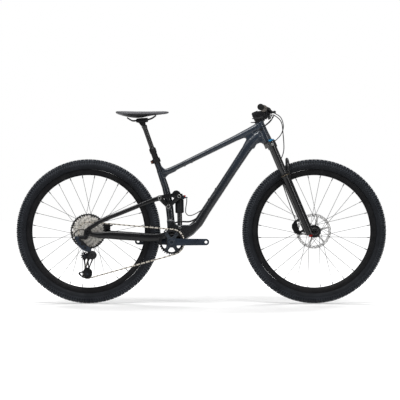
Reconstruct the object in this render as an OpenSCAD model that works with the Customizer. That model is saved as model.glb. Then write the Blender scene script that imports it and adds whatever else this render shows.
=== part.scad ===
// Full suspension mountain bike, an assembly of separate pieces.
// Frame: millimetres, X forward, Y to the rider's left, Z up, ground at Z = 0, mid wheelbase at X = 0.

/* [Wheels] */
// Distance between the two axles
wheelbase = 1155; // [1150:1:1160]
// Outside radius of both tyres, over the knobs
tyre_r = 369; // [367:1:371]
// Width of the tyre casing
tyre_w = 57; // [54:1:58]
// Knobs round each tread row
knob_count = 72; // [60:4:80]
// Radius of the front brake disc
front_disc_r = 90; // [86:1:92]
// Radius of the rear brake disc
rear_disc_r = 80; // [78:1:84]

/* [Drivetrain] */
// Bottom bracket to pedal hole
crank_length = 175; // [170:1:175]
// Radius of the pedal thread bore
pedal_hole_r = 7.1; // [6.9:0.1:7.3]

/* [Steering and suspension] */
// Lean of the steering axis from the vertical
head_lean = 23; // [22.8:0.1:23.2]
// Radius of the fork stanchions
stanchion_r = 16.8; // [16:0.1:17]
// Width of the handlebar over the grips
bar_width = 770; // [760:2:780]
// Lean of the seat post from the vertical
seat_lean = 19.5; // [19.3:0.1:19.7]
// Radius of the sliding seat post tube
post_r = 12; // [11.6:0.1:12.2]
// Length of the rear shock, eye to trunnion
shock_length = 160; // [159:0.5:161]

/* [Mounts] */
// Radius of the bottle boss thread
boss_thread_r = 2.5; // [2.4:0.1:2.6]
// Distance between the two bottle bosses
boss_spacing = 64; // [63:1:65]
// Bore of the hollow wheel axles
axle_bore_r = 5; // [4.8:0.1:5.2]

/* [Hidden] */
$fn = 48;
running_gap = 0.05;
// Axle height and axle places that the side view is drawn for
axle_z = 369;
drawn_rear_x = -577.5;
drawn_front_x = 577.5;
// From the rear tyre's front edge back to the drawing's middle
seat_tube_gap = 208.5;
rear_x = -tyre_r - seat_tube_gap;
front_x = rear_x + wheelbase;
rear_shift = rear_x - drawn_rear_x;
front_shift = front_x - drawn_front_x;
// The front frame lengthens ahead of the crank, the stays between the yoke and the brake
function ahead(x) = x + front_shift * max(0, min(1, (x + 150) / 390));
function behind(x) = x + rear_shift * max(0, min(1, (-190 - x) / 260));
function ahead_all(v) = [for (q = v) concat([ahead(q[0])], [for (i = [1:len(q) - 1]) q[i]])];
function behind_all(v) = [for (q = v) concat([behind(q[0])], [for (i = [1:len(q) - 1]) q[i]])];
spoke_count = 28;
pitch = 12.7;
ring_teeth = 32;

// Suspension pivots, side view
bb = [-151.6, 315.4];
main_pivot = [-108, 356];
rocker_pivot = [-168, 495];
rocker_rear = [-213, 539];
shock_low = [-110, 388];
shock_lean = -1.07;
shock_top = [shock_low[0] + shock_length * sin(shock_lean), shock_low[1] + shock_length * cos(shock_lean)];
rear_axle_at = [rear_x, axle_z];
front_axle_at = [front_x, axle_z];

// Steering axis foot, level with the axles
steer_foot = [front_x - 45.6, 0, axle_z];
leg_ahead = 14;
axle_ahead = 42;
axle_drop = -17.8;
leg_y = 67;
front_disc_y = 39.5;

// Chain line
ring_y = -52;
cog_y0 = -66;
cog_step = 3.58;
cog_teeth = [10, 12, 14, 16, 18, 21, 24, 28, 32, 36, 40, 45];
used_cog = 6;
chain_y = cog_y0 + cog_step * used_cog;
pulley_teeth = 11;
cage_pivot = [rear_x + 21.5, 252];
guide_rest = [rear_x - 15.5, 250];
tension_rest = [rear_x - 13.5, 155];
hanger_at = [rear_x - 10.5, 340];
upper_link_pin = [rear_x - 49.5, 337];
lower_link_pin = [rear_x + 9.5, 267];
roller_r = 3.85;

// Helpers: rods, swept tubes and the side view plane
module rod(p, q, r, r2 = -1) {
  v = q - p;
  translate(p) rotate([0, acos(v[2] / norm(v)), atan2(v[1], v[0])])
    cylinder(h = norm(v), r1 = r, r2 = r2 < 0 ? r : r2);
}
// Cylinder along Y between two Y values at a side view point
module pin(at, y0, y1, r) {
  translate([at[0], y0, at[1]]) rotate([-90, 0, 0]) cylinder(h = y1 - y0, r = r);
}
// Ring along Y
module collar(at, y0, y1, r, bore) {
  difference() {
    pin(at, y0, y1, r);
    pin(at, y0 - 1, y1 + 1, bore);
  }
}
// Side view outline given depth between two Y values
module slab(y0, y1) {
  translate([0, y1, 0]) rotate([90, 0, 0]) linear_extrude(y1 - y0) children();
}
module both_sides() {
  children();
  mirror([0, 1, 0]) children();
}
module steering() {
  translate(steer_foot) rotate([0, -head_lean, 0]) children();
}
module along_post() {
  translate([-222, 0, 708]) rotate([0, -seat_lean, 0]) children();
}
module along_shock() {
  translate([shock_low[0], 0, shock_low[1]]) rotate([0, shock_lean, 0]) children();
}
function unit(v) = v / norm(v);
function spread(c, e) = sign(c) * pow(abs(c), 2 / e);
// Stations are [x, y, z, half height, half width, roundness]
function curve(a, b, c, d, t) =
  0.5 * (2 * b + (c - a) * t + (2 * a - 5 * b + 4 * c - d) * t * t + (3 * b - a - 3 * c + d) * t * t * t);
function fine(s, k) = concat(
  [for (i = [0:len(s) - 2], j = [0:k - 1])
    curve(s[max(i - 1, 0)], s[i], s[i + 1], s[min(i + 2, len(s) - 1)], j / k)],
  [s[len(s) - 1]]);
function place(s) = [s[0], s[1], s[2]];
function heading(s, i) = unit(place(s[min(i + 1, len(s) - 1)]) - place(s[max(i - 1, 0)]));
function hoop(s, i, n, ref) =
  let (w = heading(s, i), b = unit(ref - (ref * w) * w), a = cross(w, b))
  [for (j = [0:n - 1])
    place(s[i]) + s[i][3] * spread(cos(360 * j / n), s[i][5]) * a
      + s[i][4] * spread(sin(360 * j / n), s[i][5]) * b];
module loft(hoops) {
  n = len(hoops[0]);
  m = len(hoops);
  polyhedron(
    points = [for (h = hoops) each h],
    faces = concat(
      [[for (i = [0:n - 1]) n - 1 - i]],
      [for (k = [0:m - 2], i = [0:n - 1]) [k * n + i, k * n + (i + 1) % n, k * n + n + i]],
      [for (k = [0:m - 2], i = [0:n - 1]) [k * n + (i + 1) % n, k * n + n + (i + 1) % n, k * n + n + i]],
      [[for (i = [0:n - 1]) (m - 1) * n + i]]));
}
module tube(stations, k = 3, n = 16, ref = [0, 1, 0]) {
  s = fine(stations, k);
  loft([for (i = [0:len(s) - 1]) hoop(s, i, n, ref)]);
}
// Round cable through points
module cable(points, r, k = 4, n = 6, ref = [0.21, 0.35, 0.91]) {
  tube([for (p = points) [p[0], p[1], p[2], r, r, 2]], k, n, ref);
}

// Chain path: wheels as [centre, teeth, turn sense, sideways place], in the order the chain meets them
function swing_about(p, c, a) = c + [(p - c)[0] * cos(a) - (p - c)[1] * sin(a), (p - c)[0] * sin(a) + (p - c)[1] * cos(a)];
function path_wheels(a) = [
  [bb, ring_teeth, -1, ring_y],
  [swing_about(tension_rest, cage_pivot, a), pulley_teeth, -1, chain_y],
  [swing_about(guide_rest, cage_pivot, a), pulley_teeth, 1, chain_y],
  [rear_axle_at, cog_teeth[used_cog], -1, chain_y]];
function pitch_r(n) = n * pitch / (2 * PI);
function signed_r(w) = w[2] * pitch_r(w[1]);
function run_angle(w, v) =
  atan2((v[0] - w[0])[1], (v[0] - w[0])[0]) - asin((signed_r(v) - signed_r(w)) / norm(v[0] - w[0]));
function run_links(w, v) = sqrt(pow(norm(v[0] - w[0]), 2) - pow(signed_r(v) - signed_r(w), 2)) / pitch;
function whole_turn(a) = a - 360 * floor(a / 360);
function run_angles(ws) = [for (i = [0:3]) run_angle(ws[i], ws[(i + 1) % 4])];
function arc_links(ws, d, i) = whole_turn(ws[i][2] * (d[i] - d[(i + 3) % 4])) / 360 * ws[i][1];
function path_pieces(ws) = let (d = run_angles(ws))
  [for (i = [0:3]) each [arc_links(ws, d, i), run_links(ws[i], ws[(i + 1) % 4])]];
function total(v, k = 0) = k >= len(v) ? 0 : v[k] + total(v, k + 1);
function path_links(a) = total(path_pieces(path_wheels(a)));
chain_links = 2 * round(path_links(0) / 2);
// The cage swings until the path holds a whole number of links
function cage_fit(lo, hi, k) = let (m = (lo + hi) / 2)
  k == 0 ? m : (path_links(lo) - chain_links) * (path_links(m) - chain_links) <= 0
    ? cage_fit(lo, m, k - 1) : cage_fit(m, hi, k - 1);
cage_turn = cage_fit(-14, 14, 34);
wheels = path_wheels(cage_turn);
runs = run_angles(wheels);
pieces = path_pieces(wheels);
guide_at = wheels[2][0];
tension_at = wheels[1][0];
function starts(k) = k == 0 ? 0 : starts(k - 1) + pieces[k - 1];
piece_start = [for (k = [0:8]) starts(k)];
function piece_of(s, k = 0) = k >= 7 || s < piece_start[k + 1] ? k : piece_of(s, k + 1);
function path_angle(s) = let (k = piece_of(s), i = floor(k / 2))
  k % 2 == 1 ? runs[i] : runs[(i + 3) % 4] + wheels[i][2] * 360 * (s - piece_start[k]) / wheels[i][1];
function rim_point(w, a) = w[0] - signed_r(w) * [-sin(a), cos(a)];
function path_point(s) = let (k = piece_of(s), i = floor(k / 2))
  k % 2 == 0 ? rim_point(wheels[i], path_angle(s))
    : rim_point(wheels[i], runs[i]) + (s - piece_start[k]) * pitch * [cos(runs[i]), sin(runs[i])];
function path_side(s) = let (k = piece_of(s), i = floor(k / 2))
  k % 2 == 0 ? wheels[i][3]
    : wheels[i][3] + (wheels[(i + 1) % 4][3] - wheels[i][3]) * (s - piece_start[k]) / pieces[k];
// Angle of a roller seat on each wheel of the path
function seat_angle(i) = path_angle(ceil(piece_start[2 * i] + 0.01)) - 90 * wheels[i][2];

// Toothed wheel outline with roller seats
function polar(r, a) = [r * cos(a), r * sin(a)];
function plain_ring(n, phase) = let (root = pitch_r(n) - 4.2, tip = pitch_r(n) + 2.4, step = 360 / n)
  [for (k = [0:n - 1]) let (g = phase + k * step) each [
    polar(root, g - asin(2.8 / root)),
    polar(root, g + asin(2.8 / root)),
    polar(tip, g + step / 2 - asin(1.1 / tip)),
    polar(tip, g + step / 2 + asin(1.1 / tip))]];
function tooth_ring(n, phase, rise = 2.4) = let (r = pitch_r(n), root = r - 4.2, tip = r + rise, step = 360 / n)
  [for (k = [0:n - 1]) let (g = phase + k * step) each [
    polar(root, g - asin(2.8 / root)),
    polar(root, g + asin(2.8 / root)),
    polar(r, g + asin(4.25 / r)),
    polar(tip, g + step / 2 - asin(1.1 / tip)),
    polar(tip, g + step / 2 + asin(1.1 / tip)),
    polar(r, g + step - asin(4.25 / r))]];

// Frame
module front_frame() {
  color([0.13, 0.16, 0.2]) resize([0, 0, 0]) difference() {
    union() {
      // Down tube
      tube(ahead_all([[296, 0, 862, 24, 23, 2.4], [258, 0, 826, 25, 25, 2.6], [226, 0, 782, 24, 26, 2.8],
        [159, 0, 680, 22.5, 26, 2.8], [92, 0, 577.5, 22.5, 26, 2.8], [24, 0, 475, 23, 27, 2.8],
        [-14, 0, 414, 25, 29, 2.8], [-56, 0, 372, 27, 30, 2.8], [-104, 0, 345, 30, 30, 2.8],
        [-150, 0, 318, 25, 30, 2.6]]), 1, 16);
      // Top tube
      tube(ahead_all([[-206, 0, 668, 12, 15, 2.3], [-160, 0, 681, 15, 17, 2.4], [-110, 0, 705, 13.8, 18, 2.6],
        [44, 0, 780.5, 14.8, 20, 2.6], [172, 0, 844, 15.8, 21, 2.5], [236, 0, 876, 18, 21, 2.4],
        [286, 0, 902, 20, 20, 2.2]]), 1, 16);
      // Seat tube
      tube([[-234.2, 0, 742.5, 16.8, 16.8, 2], [-216, 0, 690, 17, 17, 2], [-183, 0, 592, 18.2, 19, 2.2],
        [-169, 0, 530, 19.5, 20, 2.4], [-163, 0, 490, 20, 21, 2.5], [-157, 0, 434, 19.5, 24, 2.6],
        [-155, 0, 390, 20, 28, 2.6], [-152, 0, 330, 20, 30, 2.6]], 1, 16);
      // Head tube
      steering() translate([0, 0, 494]) cylinder(h = 62, r1 = 27.5, r2 = 23.8, $fn = 32);
      steering() translate([0, 0, 554]) cylinder(h = 54, r1 = 24, r2 = 22.5, $fn = 32);
      // Bottom bracket shell and lower block
      pin(bb, -36.5, 36.5, 23, $fn = 36);
      slab(-30, 30) polygon([[-137, 425], [-134, 406], [-118, 402], [-89, 402], [-56, 402], [-30, 417],
        [-12, 400], [-24, 374], [-45, 355], [-70, 339], [-105, 313], [-135, 295], [-152, 292.6], [-168, 299],
        [-174.5, 316], [-171, 345], [-174, 385], [-177, 425]]);
      pin(main_pivot, -33, 33, 15, $fn = 28);
      pin(rocker_pivot, -25.6, 25.6, 13, $fn = 28);
      // Webs that fill the tube junctions
      slab(-18, 18) polygon(ahead_all([[254, 790], [274, 810], [300, 822], [318, 818], [330, 850], [290, 880],
        [240, 830]]));
      slab(-17, 17) polygon(ahead_all([[190, 835], [218, 847], [228, 846], [230, 838], [213, 808], [270, 790],
        [300, 850], [250, 880]]));
      slab(-13, 13) polygon([[-209, 712], [-197, 695], [-187, 688], [-173, 688], [-158, 693], [-140, 700], [-165, 672],
        [-205, 672]]);
      slab(-13, 13) polygon([[-189, 628], [-182, 645], [-168, 659], [-150, 667], [-128, 677], [-160, 690], [-200, 660]]);
    }
    // Bores
    steering() translate([0, 0, 480]) cylinder(h = 140, r = 17.5, $fn = 28);
    steering() translate([0, 0, 480]) cylinder(h = 22, r = 24.4, $fn = 32);
    steering() translate([0, 0, 598]) cylinder(h = 30, r = 20.1, $fn = 32);
    along_post() translate([0, 0, -122]) cylinder(h = 204, r = 15.5, $fn = 32);
    pin(bb, -50, 50, 17.1, $fn = 32);
    pin(main_pivot, -50, 50, 7.6, $fn = 24);
    pin(rocker_pivot, -40, 40, 6.15, $fn = 24);
    pin(shock_low, -50, 50, 5.15, $fn = 24);
    // Pocket for the lower shock eye
    slab(-13, 13) polygon([[-137.5, 440], [-134, 373], [-86, 373], [-84, 440]]);
    boss_places() cylinder(h = 24, r = 4.2, center = true, $fn = 20);
    belly_places() cylinder(h = 20, r = 3.25, center = true, $fn = 20);
  }
}
// Bottle bosses on the down tube, outward is up
down_tube_low = [ahead(24), 475];
down_tube_run = [ahead(226), 782] - down_tube_low;
top_tube_low = [ahead(-110), 705];
top_tube_run = [ahead(44), 780.5] - top_tube_low;
module boss_places() {
  for (k = [0, 1]) {
    p = down_tube_low + unit(down_tube_run) * (119.6 - boss_spacing * k);
    translate([p[0], 0, p[1]]) rotate([0, -atan2(down_tube_run[1], down_tube_run[0]), 0])
      translate([0, 0, 22.6]) children();
  }
}
// Accessory bosses under the top tube
module belly_places() {
  for (k = [0, 1]) {
    p = top_tube_low + unit(top_tube_run) * (22.3 + 40.1 * k);
    translate([p[0], 0, p[1]]) rotate([0, 180 - atan2(top_tube_run[1], top_tube_run[0]), 0])
      translate([0, 0, 14.1]) children();
  }
}
module boss_insert(body_r, flange_r) {
  difference() {
    union() {
      translate([0, 0, -9]) cylinder(h = 9.5, r = body_r);
      cylinder(h = 1.6, r = flange_r);
    }
    translate([0, 0, -10]) cylinder(h = 14, r = boss_thread_r);
  }
}
module frame_inserts() {
  color([0.2, 0.2, 0.22]) {
    // Headset rings
    steering() translate([0, 0, 494.2]) difference() {
      cylinder(h = 7.4, r = 24.1);
      translate([0, 0, -1]) cylinder(h = 10, r = 14.3 + running_gap);
    }
    steering() translate([0, 0, 598.4]) difference() {
      union() {
        cylinder(h = 10, r = 19.9);
        translate([0, 0, 9.8]) cylinder(h = 4, r = 22);
      }
      translate([0, 0, -1]) cylinder(h = 16, r = 14.3 + running_gap);
    }
    // Bottom bracket cups
    both_sides() collar(bb, -45.5, -36.7, 21.8, 12 + running_gap);
    both_sides() collar(bb, -36.5, -26, 16.9, 12 + running_gap);
    boss_places() boss_insert(4, 6.2);
    belly_places() boss_insert(3.1, 4.6);
  }
}
module seat_clamp() {
  color([0.08, 0.08, 0.09]) along_post() difference() {
    union() {
      translate([0, 0, 13]) cylinder(h = 22, r = 20.4);
      translate([-30, -9, 15]) cube([14, 18, 18]);
      translate([-25, 0, 24]) rotate([90, 0, 0]) cylinder(h = 25, r = 4.6, center = true);
    }
    cylinder(h = 50, r = 17.05);
    translate([-40, -0.8, 10]) cube([26, 1.6, 30]);
    translate([-25, 10, 24]) rotate([-90, 0, 0]) cylinder(h = 10, r = 2, $fn = 6);
  }
}
module seatpost_lower() {
  color([0.07, 0.07, 0.08]) along_post() difference() {
    union() {
      translate([0, 0, -120]) cylinder(h = 198, r = 15.35);
      translate([0, 0, 66]) cylinder(h = 20, r = 17.4);
      translate([0, 0, 86]) cylinder(h = 7, r1 = 17.4, r2 = 14.6);
    }
    translate([0, 0, -130]) cylinder(h = 250, r = post_r + running_gap);
  }
}
module pivot_axles() {
  color([0.6, 0.6, 0.62]) {
    // Main pivot axle with flush heads
    difference() {
      union() {
        pin(main_pivot, -46.5, 46.5, 7.4);
        pin(main_pivot, -47.5, -44.6, 11.5);
        pin(main_pivot, 44.6, 47.5, 11.5);
      }
      pin(main_pivot, -60, 60, 4);
    }
    // Rocker axle
    difference() {
      union() {
        pin(rocker_pivot, -36, 36, 6);
        pin(rocker_pivot, -38.4, -34.9, 11.5);
        pin(rocker_pivot, 34.9, 38.4, 11.5);
      }
      pin(rocker_pivot, -60, -36, 4);
      pin(rocker_pivot, 36, 60, 4);
    }
    // Lower shock bolt
    difference() {
      union() {
        pin(shock_low, -31, 31, 5);
        pin(shock_low, -33.4, -30.2, 8.4);
        pin(shock_low, 30.2, 33.4, 8.4);
      }
      pin(shock_low, -60, -31.5, 3);
      pin(shock_low, 31.5, 60, 3);
    }
  }
}

// Rear triangle
module stays() {
  tube(behind_all([[-577.5, -80.3, 369, 14, 5.5, 2.6], [-556, -79.8, 355, 12.5, 5.8, 2.6], [-520, -76, 350, 16, 8, 2.6],
    [-465, -68, 351, 20.5, 10, 2.7], [-414, -60, 347.5, 21.5, 10, 2.7], [-363, -52.5, 344, 21.5, 9.5, 2.7],
    [-312, -46.5, 340.5, 21.5, 8, 2.7], [-262, -41, 338, 21, 6.3, 2.7], [-225, -39.2, 339.5, 19, 5.5, 2.7],
    [-190, -39, 347, 15, 5.2, 2.7], [-150, -39, 357.5, 12, 5.2, 2.7], [-108, -39, 356, 13.5, 5.2, 2.7]]), 1, 12);
  tube(behind_all([[-579, -80.3, 371, 13, 5.5, 2.4], [-568, -79.8, 386, 12, 5.6, 2.4], [-545, -77, 400.5, 11.5, 6, 2.4],
    [-519, -73.5, 417, 11, 6.5, 2.4], [-468, -66, 441, 11, 7, 2.4], [-417, -58, 460.5, 11, 7, 2.4],
    [-366, -51, 481, 11, 6.5, 2.4], [-315, -45.5, 501.5, 11, 6, 2.4], [-263, -41.5, 522.6, 11.5, 5, 2.5],
    [-237, -40.4, 531.5, 12.5, 4.6, 2.6], [-213, -40.3, 539, 13.5, 4.5, 2.6]]), 1, 12);
}
module rear_triangle() {
  color([0.08, 0.08, 0.09]) resize([0, 0, 0]) difference() {
    union() {
      both_sides() {
        stays();
        pin(rear_axle_at, -86, -74.6, 18, $fn = 28);
        pin(main_pivot, -44.2, -33.8, 16, $fn = 28);
        pin(rocker_rear, -44.8, -35.8, 14, $fn = 28);
      }
      // Hanger below the right dropout
      slab(-86, -79) polygon(behind_all([[-595, 374], [-597, 352], [-599, 337], [-590, 328], [-577, 331], [-566, 352],
        [-561, 366]]));
      // Yoke bridge behind the bottom bracket
      slab(-40, 40) polygon([[-203, 336], [-181, 341], [-181, 362], [-186, 366], [-200, 358]]);
      // Brake mount on the left stay
      slab(64, 76) polygon(behind_all([[-512, 352], [-508, 377], [-470, 377], [-462, 352]]));
    }
    pin(rear_axle_at, -120, 120, 6.1, $fn = 32);
    pin(main_pivot, -60, 60, 12.1, $fn = 32);
    pin(rocker_rear, -60, 60, 5.1, $fn = 24);
    pin(hanger_at, -95, -70, 5.1, $fn = 24);
  }
}
module rear_pivot_bolts() {
  color([0.6, 0.6, 0.62]) both_sides() {
    difference() {
      union() {
        pin(rocker_rear, -46, -26.4, 5);
        pin(rocker_rear, -47.6, -44.9, 10.5);
      }
      pin(rocker_rear, -60, -46, 3.6);
    }
    // Main pivot bearings
    collar(main_pivot, -44.2, -33.8, 12, 7.4 + running_gap);
  }
}
module derailleur_knuckles() {
  color([0.07, 0.07, 0.08]) {
    // Upper knuckle on the hanger
    difference() {
      union() {
        pin(hanger_at, -101, -86.2, 12);
        pin(hanger_at, -86.3, -78, 5);
        rod([hanger_at[0], -94, 340], [rear_x - 48.5, -93, 341], 8.5);
        rod([rear_x - 60.5, -93, 341], [rear_x - 40.5, -93.2, 340.8], 4.6, 8);
        pin(upper_link_pin, -110, -92, 4.5);
      }
      pin(hanger_at, -110, -98, 3.5);
    }
    // Lower knuckle that carries the cage
    difference() {
      union() {
        pin(cage_pivot, -77, -52.4, 19);
        pin(cage_pivot, -53, -49.6, 5);
        pin(lower_link_pin, -89, -68, 4.5);
        rod([cage_pivot[0] - 6, -66, cage_pivot[1] + 6], [cage_pivot[0] - 16, -68, cage_pivot[1] + 24], 9);
      }
      pin(cage_pivot, -90, -74, 9);
    }
  }
}
module derailleur_link() {
  color([0.3, 0.36, 0.42]) tube(behind_all([[-634, -107, 342, 5, 4, 2.4], [-622, -107.5, 332, 10, 5, 2.6],
    [-600, -101, 307, 12, 5, 2.6], [-580, -92, 283, 12, 5, 2.6], [-570, -86.5, 270, 9, 4.5, 2.4],
    [-563, -84, 262, 5, 3, 2.2]]), 3, 12);
}
module rear_axle() {
  color([0.12, 0.12, 0.13]) difference() {
    union() {
      pin(rear_axle_at, -86, 86, 6);
      pin(rear_axle_at, -89, -86.1, 9);
      pin(rear_axle_at, 86.1, 90, 11);
    }
    pin(rear_axle_at, -100, 100, axle_bore_r - 1);
  }
}
module rear_caliper() {
  color([0.08, 0.08, 0.09]) translate([rear_shift, 0, 0]) difference() {
    union() {
      slab(44, 71) polygon([[-506, 377.4], [-506, 398], [-498, 408], [-480, 409], [-470, 400], [-469, 377.4]]);
      rod([-488, 70, 393], [-488, 74, 393], 9);
      rod([-488, 44, 393], [-488, 41, 393], 9);
      rod([-472, 58, 396], [-458, 60, 399], 4);
    }
    slab(55.4, 58.6) polygon([[-520, 370], [-520, 404], [-494, 404], [-482, 370]]);
  }
}
module rear_hoses() {
  color([0.05, 0.05, 0.05]) {
    cable(ahead_all([[-20, 9, 440], [-36, 13, 427], [-62, 19, 416], [-96, 23, 416], [-122, 30, 414], [-146, 38, 404],
      [-170, 41, 386], [-192, 41.5, 365.4]]), 2.4, 2);
    cable(ahead_all([[-17, -9, 444], [-34, -13, 431], [-62, -19, 420], [-96, -23, 420], [-122, -30, 418], [-146, -38, 408],
      [-170, -41, 389], [-192, -41.5, 365.4]]), 2.4, 2);
  }
}
module shift_loop() {
  color([0.05, 0.05, 0.05]) cable(behind_all([[-590, -88.6, 377], [-605, -90.5, 379], [-624, -92, 376], [-638, -93, 366],
    [-643, -93, 354], [-640, -93, 345]]), 2.3, 4);
}

// Chain of alternating inner and outer links
module link_place(k) {
  p = path_point(k);
  q = path_point((k + 1) % chain_links);
  y = path_side(k);
  y2 = path_side((k + 1) % chain_links);
  translate([p[0], y, p[1]]) rotate([90, 0, 0]) rotate([0, 0, atan2(q[1] - p[1], q[0] - p[0])])
    rotate([0, atan2(y2 - y, pitch), 0]) children();
}
module plate(z0, z1, r, w) {
  for (x = [0, pitch]) translate([x, 0, z0]) cylinder(h = z1 - z0, r = r);
  translate([0, -w, z0]) cube([pitch, 2 * w, z1 - z0]);
}
module chain() {
  color([0.72, 0.68, 0.6]) for (k = [0:2:chain_links - 1]) {
    link_place(k) difference() {
      union() {
        plate(1.15, 1.75, 4.1, 3.3);
        plate(-1.75, -1.15, 4.1, 3.3);
        translate([0, 0, -1.3]) cylinder(h = 2.6, r = roller_r, $fn = 20);
        translate([pitch, 0, -1.3]) cylinder(h = 2.6, r = roller_r, $fn = 20);
      }
      translate([0, 0, -3]) cylinder(h = 6, r = 2, $fn = 16);
      translate([pitch, 0, -3]) cylinder(h = 6, r = 2, $fn = 16);
    }
    link_place(k + 1) union() {
      plate(1.85, 2.4, 4.1, 3);
      plate(-2.4, -1.85, 4.1, 3);
      translate([0, 0, -2.6]) cylinder(h = 5.2, r = 1.7, $fn = 16);
      translate([pitch, 0, -2.6]) cylinder(h = 5.2, r = 1.7, $fn = 16);
    }
  }
}

// Wheels, drawn about their own axle with the drive side up
module on_axle(at) {
  translate([at[0], 0, at[1]]) rotate([90, 0, 0]) children();
}
half_w = tyre_w / 2;
casing_r = tyre_r - 6;
belly_r = casing_r - 27;
// Height of the tyre over the rim's edge
tyre_h = 52.5;
rim_r = tyre_r - tyre_h;
function casing_at(z) = belly_r + 27 * sqrt(1 - pow(z / half_w, 2));
// One row of knobs as a toothed band
module knob_row(z0, z1, rise, shift, fill, count = knob_count) {
  root = max(casing_at(z0), casing_at(z1)) + 0.4;
  step = 360 / count;
  translate([0, 0, min(z0, z1)]) linear_extrude(abs(z1 - z0)) difference() {
    polygon([for (k = [0:count - 1]) let (a = -90 + (k + shift) * step) each [
      polar(root, a - step * fill / 2 - 0.35), polar(root + rise, a - step * fill / 2),
      polar(root + rise, a + step * fill / 2), polar(root, a + step * fill / 2 + 0.35)]]);
    circle(r = min(casing_at(z0), casing_at(z1)) - 3, $fn = 96);
  }
}
module tyre() {
  color([0.09, 0.1, 0.12]) {
    rotate_extrude($fn = 120) polygon(concat(
      [[rim_r + 0.4, 13.5]],
      [for (a = [-40:10:220]) [belly_r + 27 * sin(a), half_w * cos(a)]],
      [[rim_r + 0.4, -13.5]],
      [for (a = [220:-20:-40]) [belly_r + 23 * sin(a), (half_w - 4) * cos(a)]]));
    knob_row(-5.5, 5.5, tyre_r / cos(99 / knob_count) - casing_at(5.5) - 0.4, 0, 0.55);
    knob_row(8, 14.5, 5.2, 0.25, 0.5, knob_count / 2);
    knob_row(-8, -14.5, 5.2, 0.25, 0.5, knob_count / 2);
    knob_row(17.5, 23.5, 5, 0, 0.6);
    knob_row(-17.5, -23.5, 5, 0, 0.6);
  }
}
module rim() {
  color([0.07, 0.07, 0.08]) {
    rotate_extrude($fn = 120) polygon([for (q = [[0, 15.5], [0, 12.6], [7.5, 12.6], [9.5, 5], [13.5, 0], [9.5, -5],
      [7.5, -12.6], [0, -12.6], [0, -15.5], [10.5, -15.8], [25.5, -10], [29, -6], [29.5, 0], [29, 6],
      [25.5, 10], [10.5, 15.8]]) [rim_r - q[0], q[1]]]);
  }
}
// Laced spokes, flange at z0 below and z1 above, hole circle r
module spokes(z0, z1, r) {
  color([0.75, 0.76, 0.78]) for (i = [0:spoke_count - 1]) {
    a = 90 + 360 / spoke_count * (i + 0.5);
    lead = floor(i / 2) % 2 == 0 ? -1 : 1;
    h = a + lead * 3 * 720 / spoke_count;
    z = i % 2 == 0 ? z0 : z1;
    p = [r * cos(h), r * sin(h), z + lead * 3.1];
    q = [(rim_r - 30.3) * cos(a), (rim_r - 30.3) * sin(a), 0];
    n = p + (q - p) * (1 - 13 / norm(q - p));
    rod(p, n, 1);
    rod(n, q, 2.2);
  }
}
module disc(r, z, bore) {
  color([0.78, 0.78, 0.76]) translate([0, 0, z - 0.9]) linear_extrude(1.8) difference() {
    circle(r = r, $fn = 96);
    difference() {
      circle(r = r - 15, $fn = 96);
      circle(r = 24);
      for (k = [0:5]) rotate(60 * k) translate([0, -4.5]) rotate(14) square([r - 8, 9]);
    }
    circle(r = bore);
    for (k = [0:23]) rotate(15 * k) translate([r - 4.5, 0]) circle(r = 2, $fn = 16);
    for (k = [0:23]) rotate(15 * k + 7.5) translate([r - 10, 0]) circle(r = 2.3, $fn = 16);
  }
}
module rear_tyre() on_axle(rear_axle_at) tyre();
module rear_rim() on_axle(rear_axle_at) rim();
module rear_spokes() on_axle(rear_axle_at) spokes(-33, 19, 28.5);
module rear_rotor() on_axle(rear_axle_at) disc(rear_disc_r, -57, 17);
module rear_hub() {
  color([0.08, 0.08, 0.09]) on_axle(rear_axle_at) rotate_extrude() polygon([[6 + running_gap, -73.8], [9.5, -73.8],
    [9.5, -61], [15, -61], [16.9, -60], [16.9, -56], [22, -56], [22, -52.5], [14, -50], [14, -38], [20, -34.6],
    [32, -34.6], [32, -31.4], [20, -31.4], [16, -24], [16, 9], [22, 17.4], [32, 17.4], [32, 20.6], [22, 20.6],
    [18, 23], [6 + running_gap, 23]]);
}
module freehub() {
  color([0.3, 0.3, 0.32]) on_axle(rear_axle_at) rotate_extrude() polygon([[6 + running_gap, 23.4], [15, 23.4], [17, 25],
    [17, 58], [11.9, 58], [11.9, 70.5], [9.5, 71], [9.5, 73.8], [6 + running_gap, 73.8]]);
}
function cog_z(i) = -cog_y0 - cog_step * i;
module cassette_cogs() {
  color([0.74, 0.72, 0.68]) on_axle(rear_axle_at) {
    for (i = [0:11]) {
      bore = i < 2 ? 12 : 17.05;
      translate([0, 0, cog_z(i) - 0.85]) linear_extrude(1.7) difference() {
        polygon(i == used_cog ? tooth_ring(cog_teeth[i], seat_angle(3)) : plain_ring(cog_teeth[i], 4 * i));
        circle(r = bore);
        if (i > 6) for (k = [0:11]) rotate(30 * k + 5 * i)
          translate([pitch_r(cog_teeth[i]) - 11.5, 0]) circle(r = 3.6, $fn = 16);
      }
    }
    for (i = [0:10]) {
      bore = i < 2 ? 12 : 17.05;
      translate([0, 0, cog_z(i + 1) + 0.85]) difference() {
        cylinder(h = cog_step - 1.7, r = i == 0 ? 15 : min(pitch_r(cog_teeth[i]) - 8, 26));
        translate([0, 0, -1]) cylinder(h = 8, r = bore);
      }
    }
    translate([0, 0, cog_z(0) + 0.85]) difference() {
      cylinder(h = 2.4, r = 14);
      translate([0, 0, -1]) cylinder(h = 8, r = 12);
    }
  }
}

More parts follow.
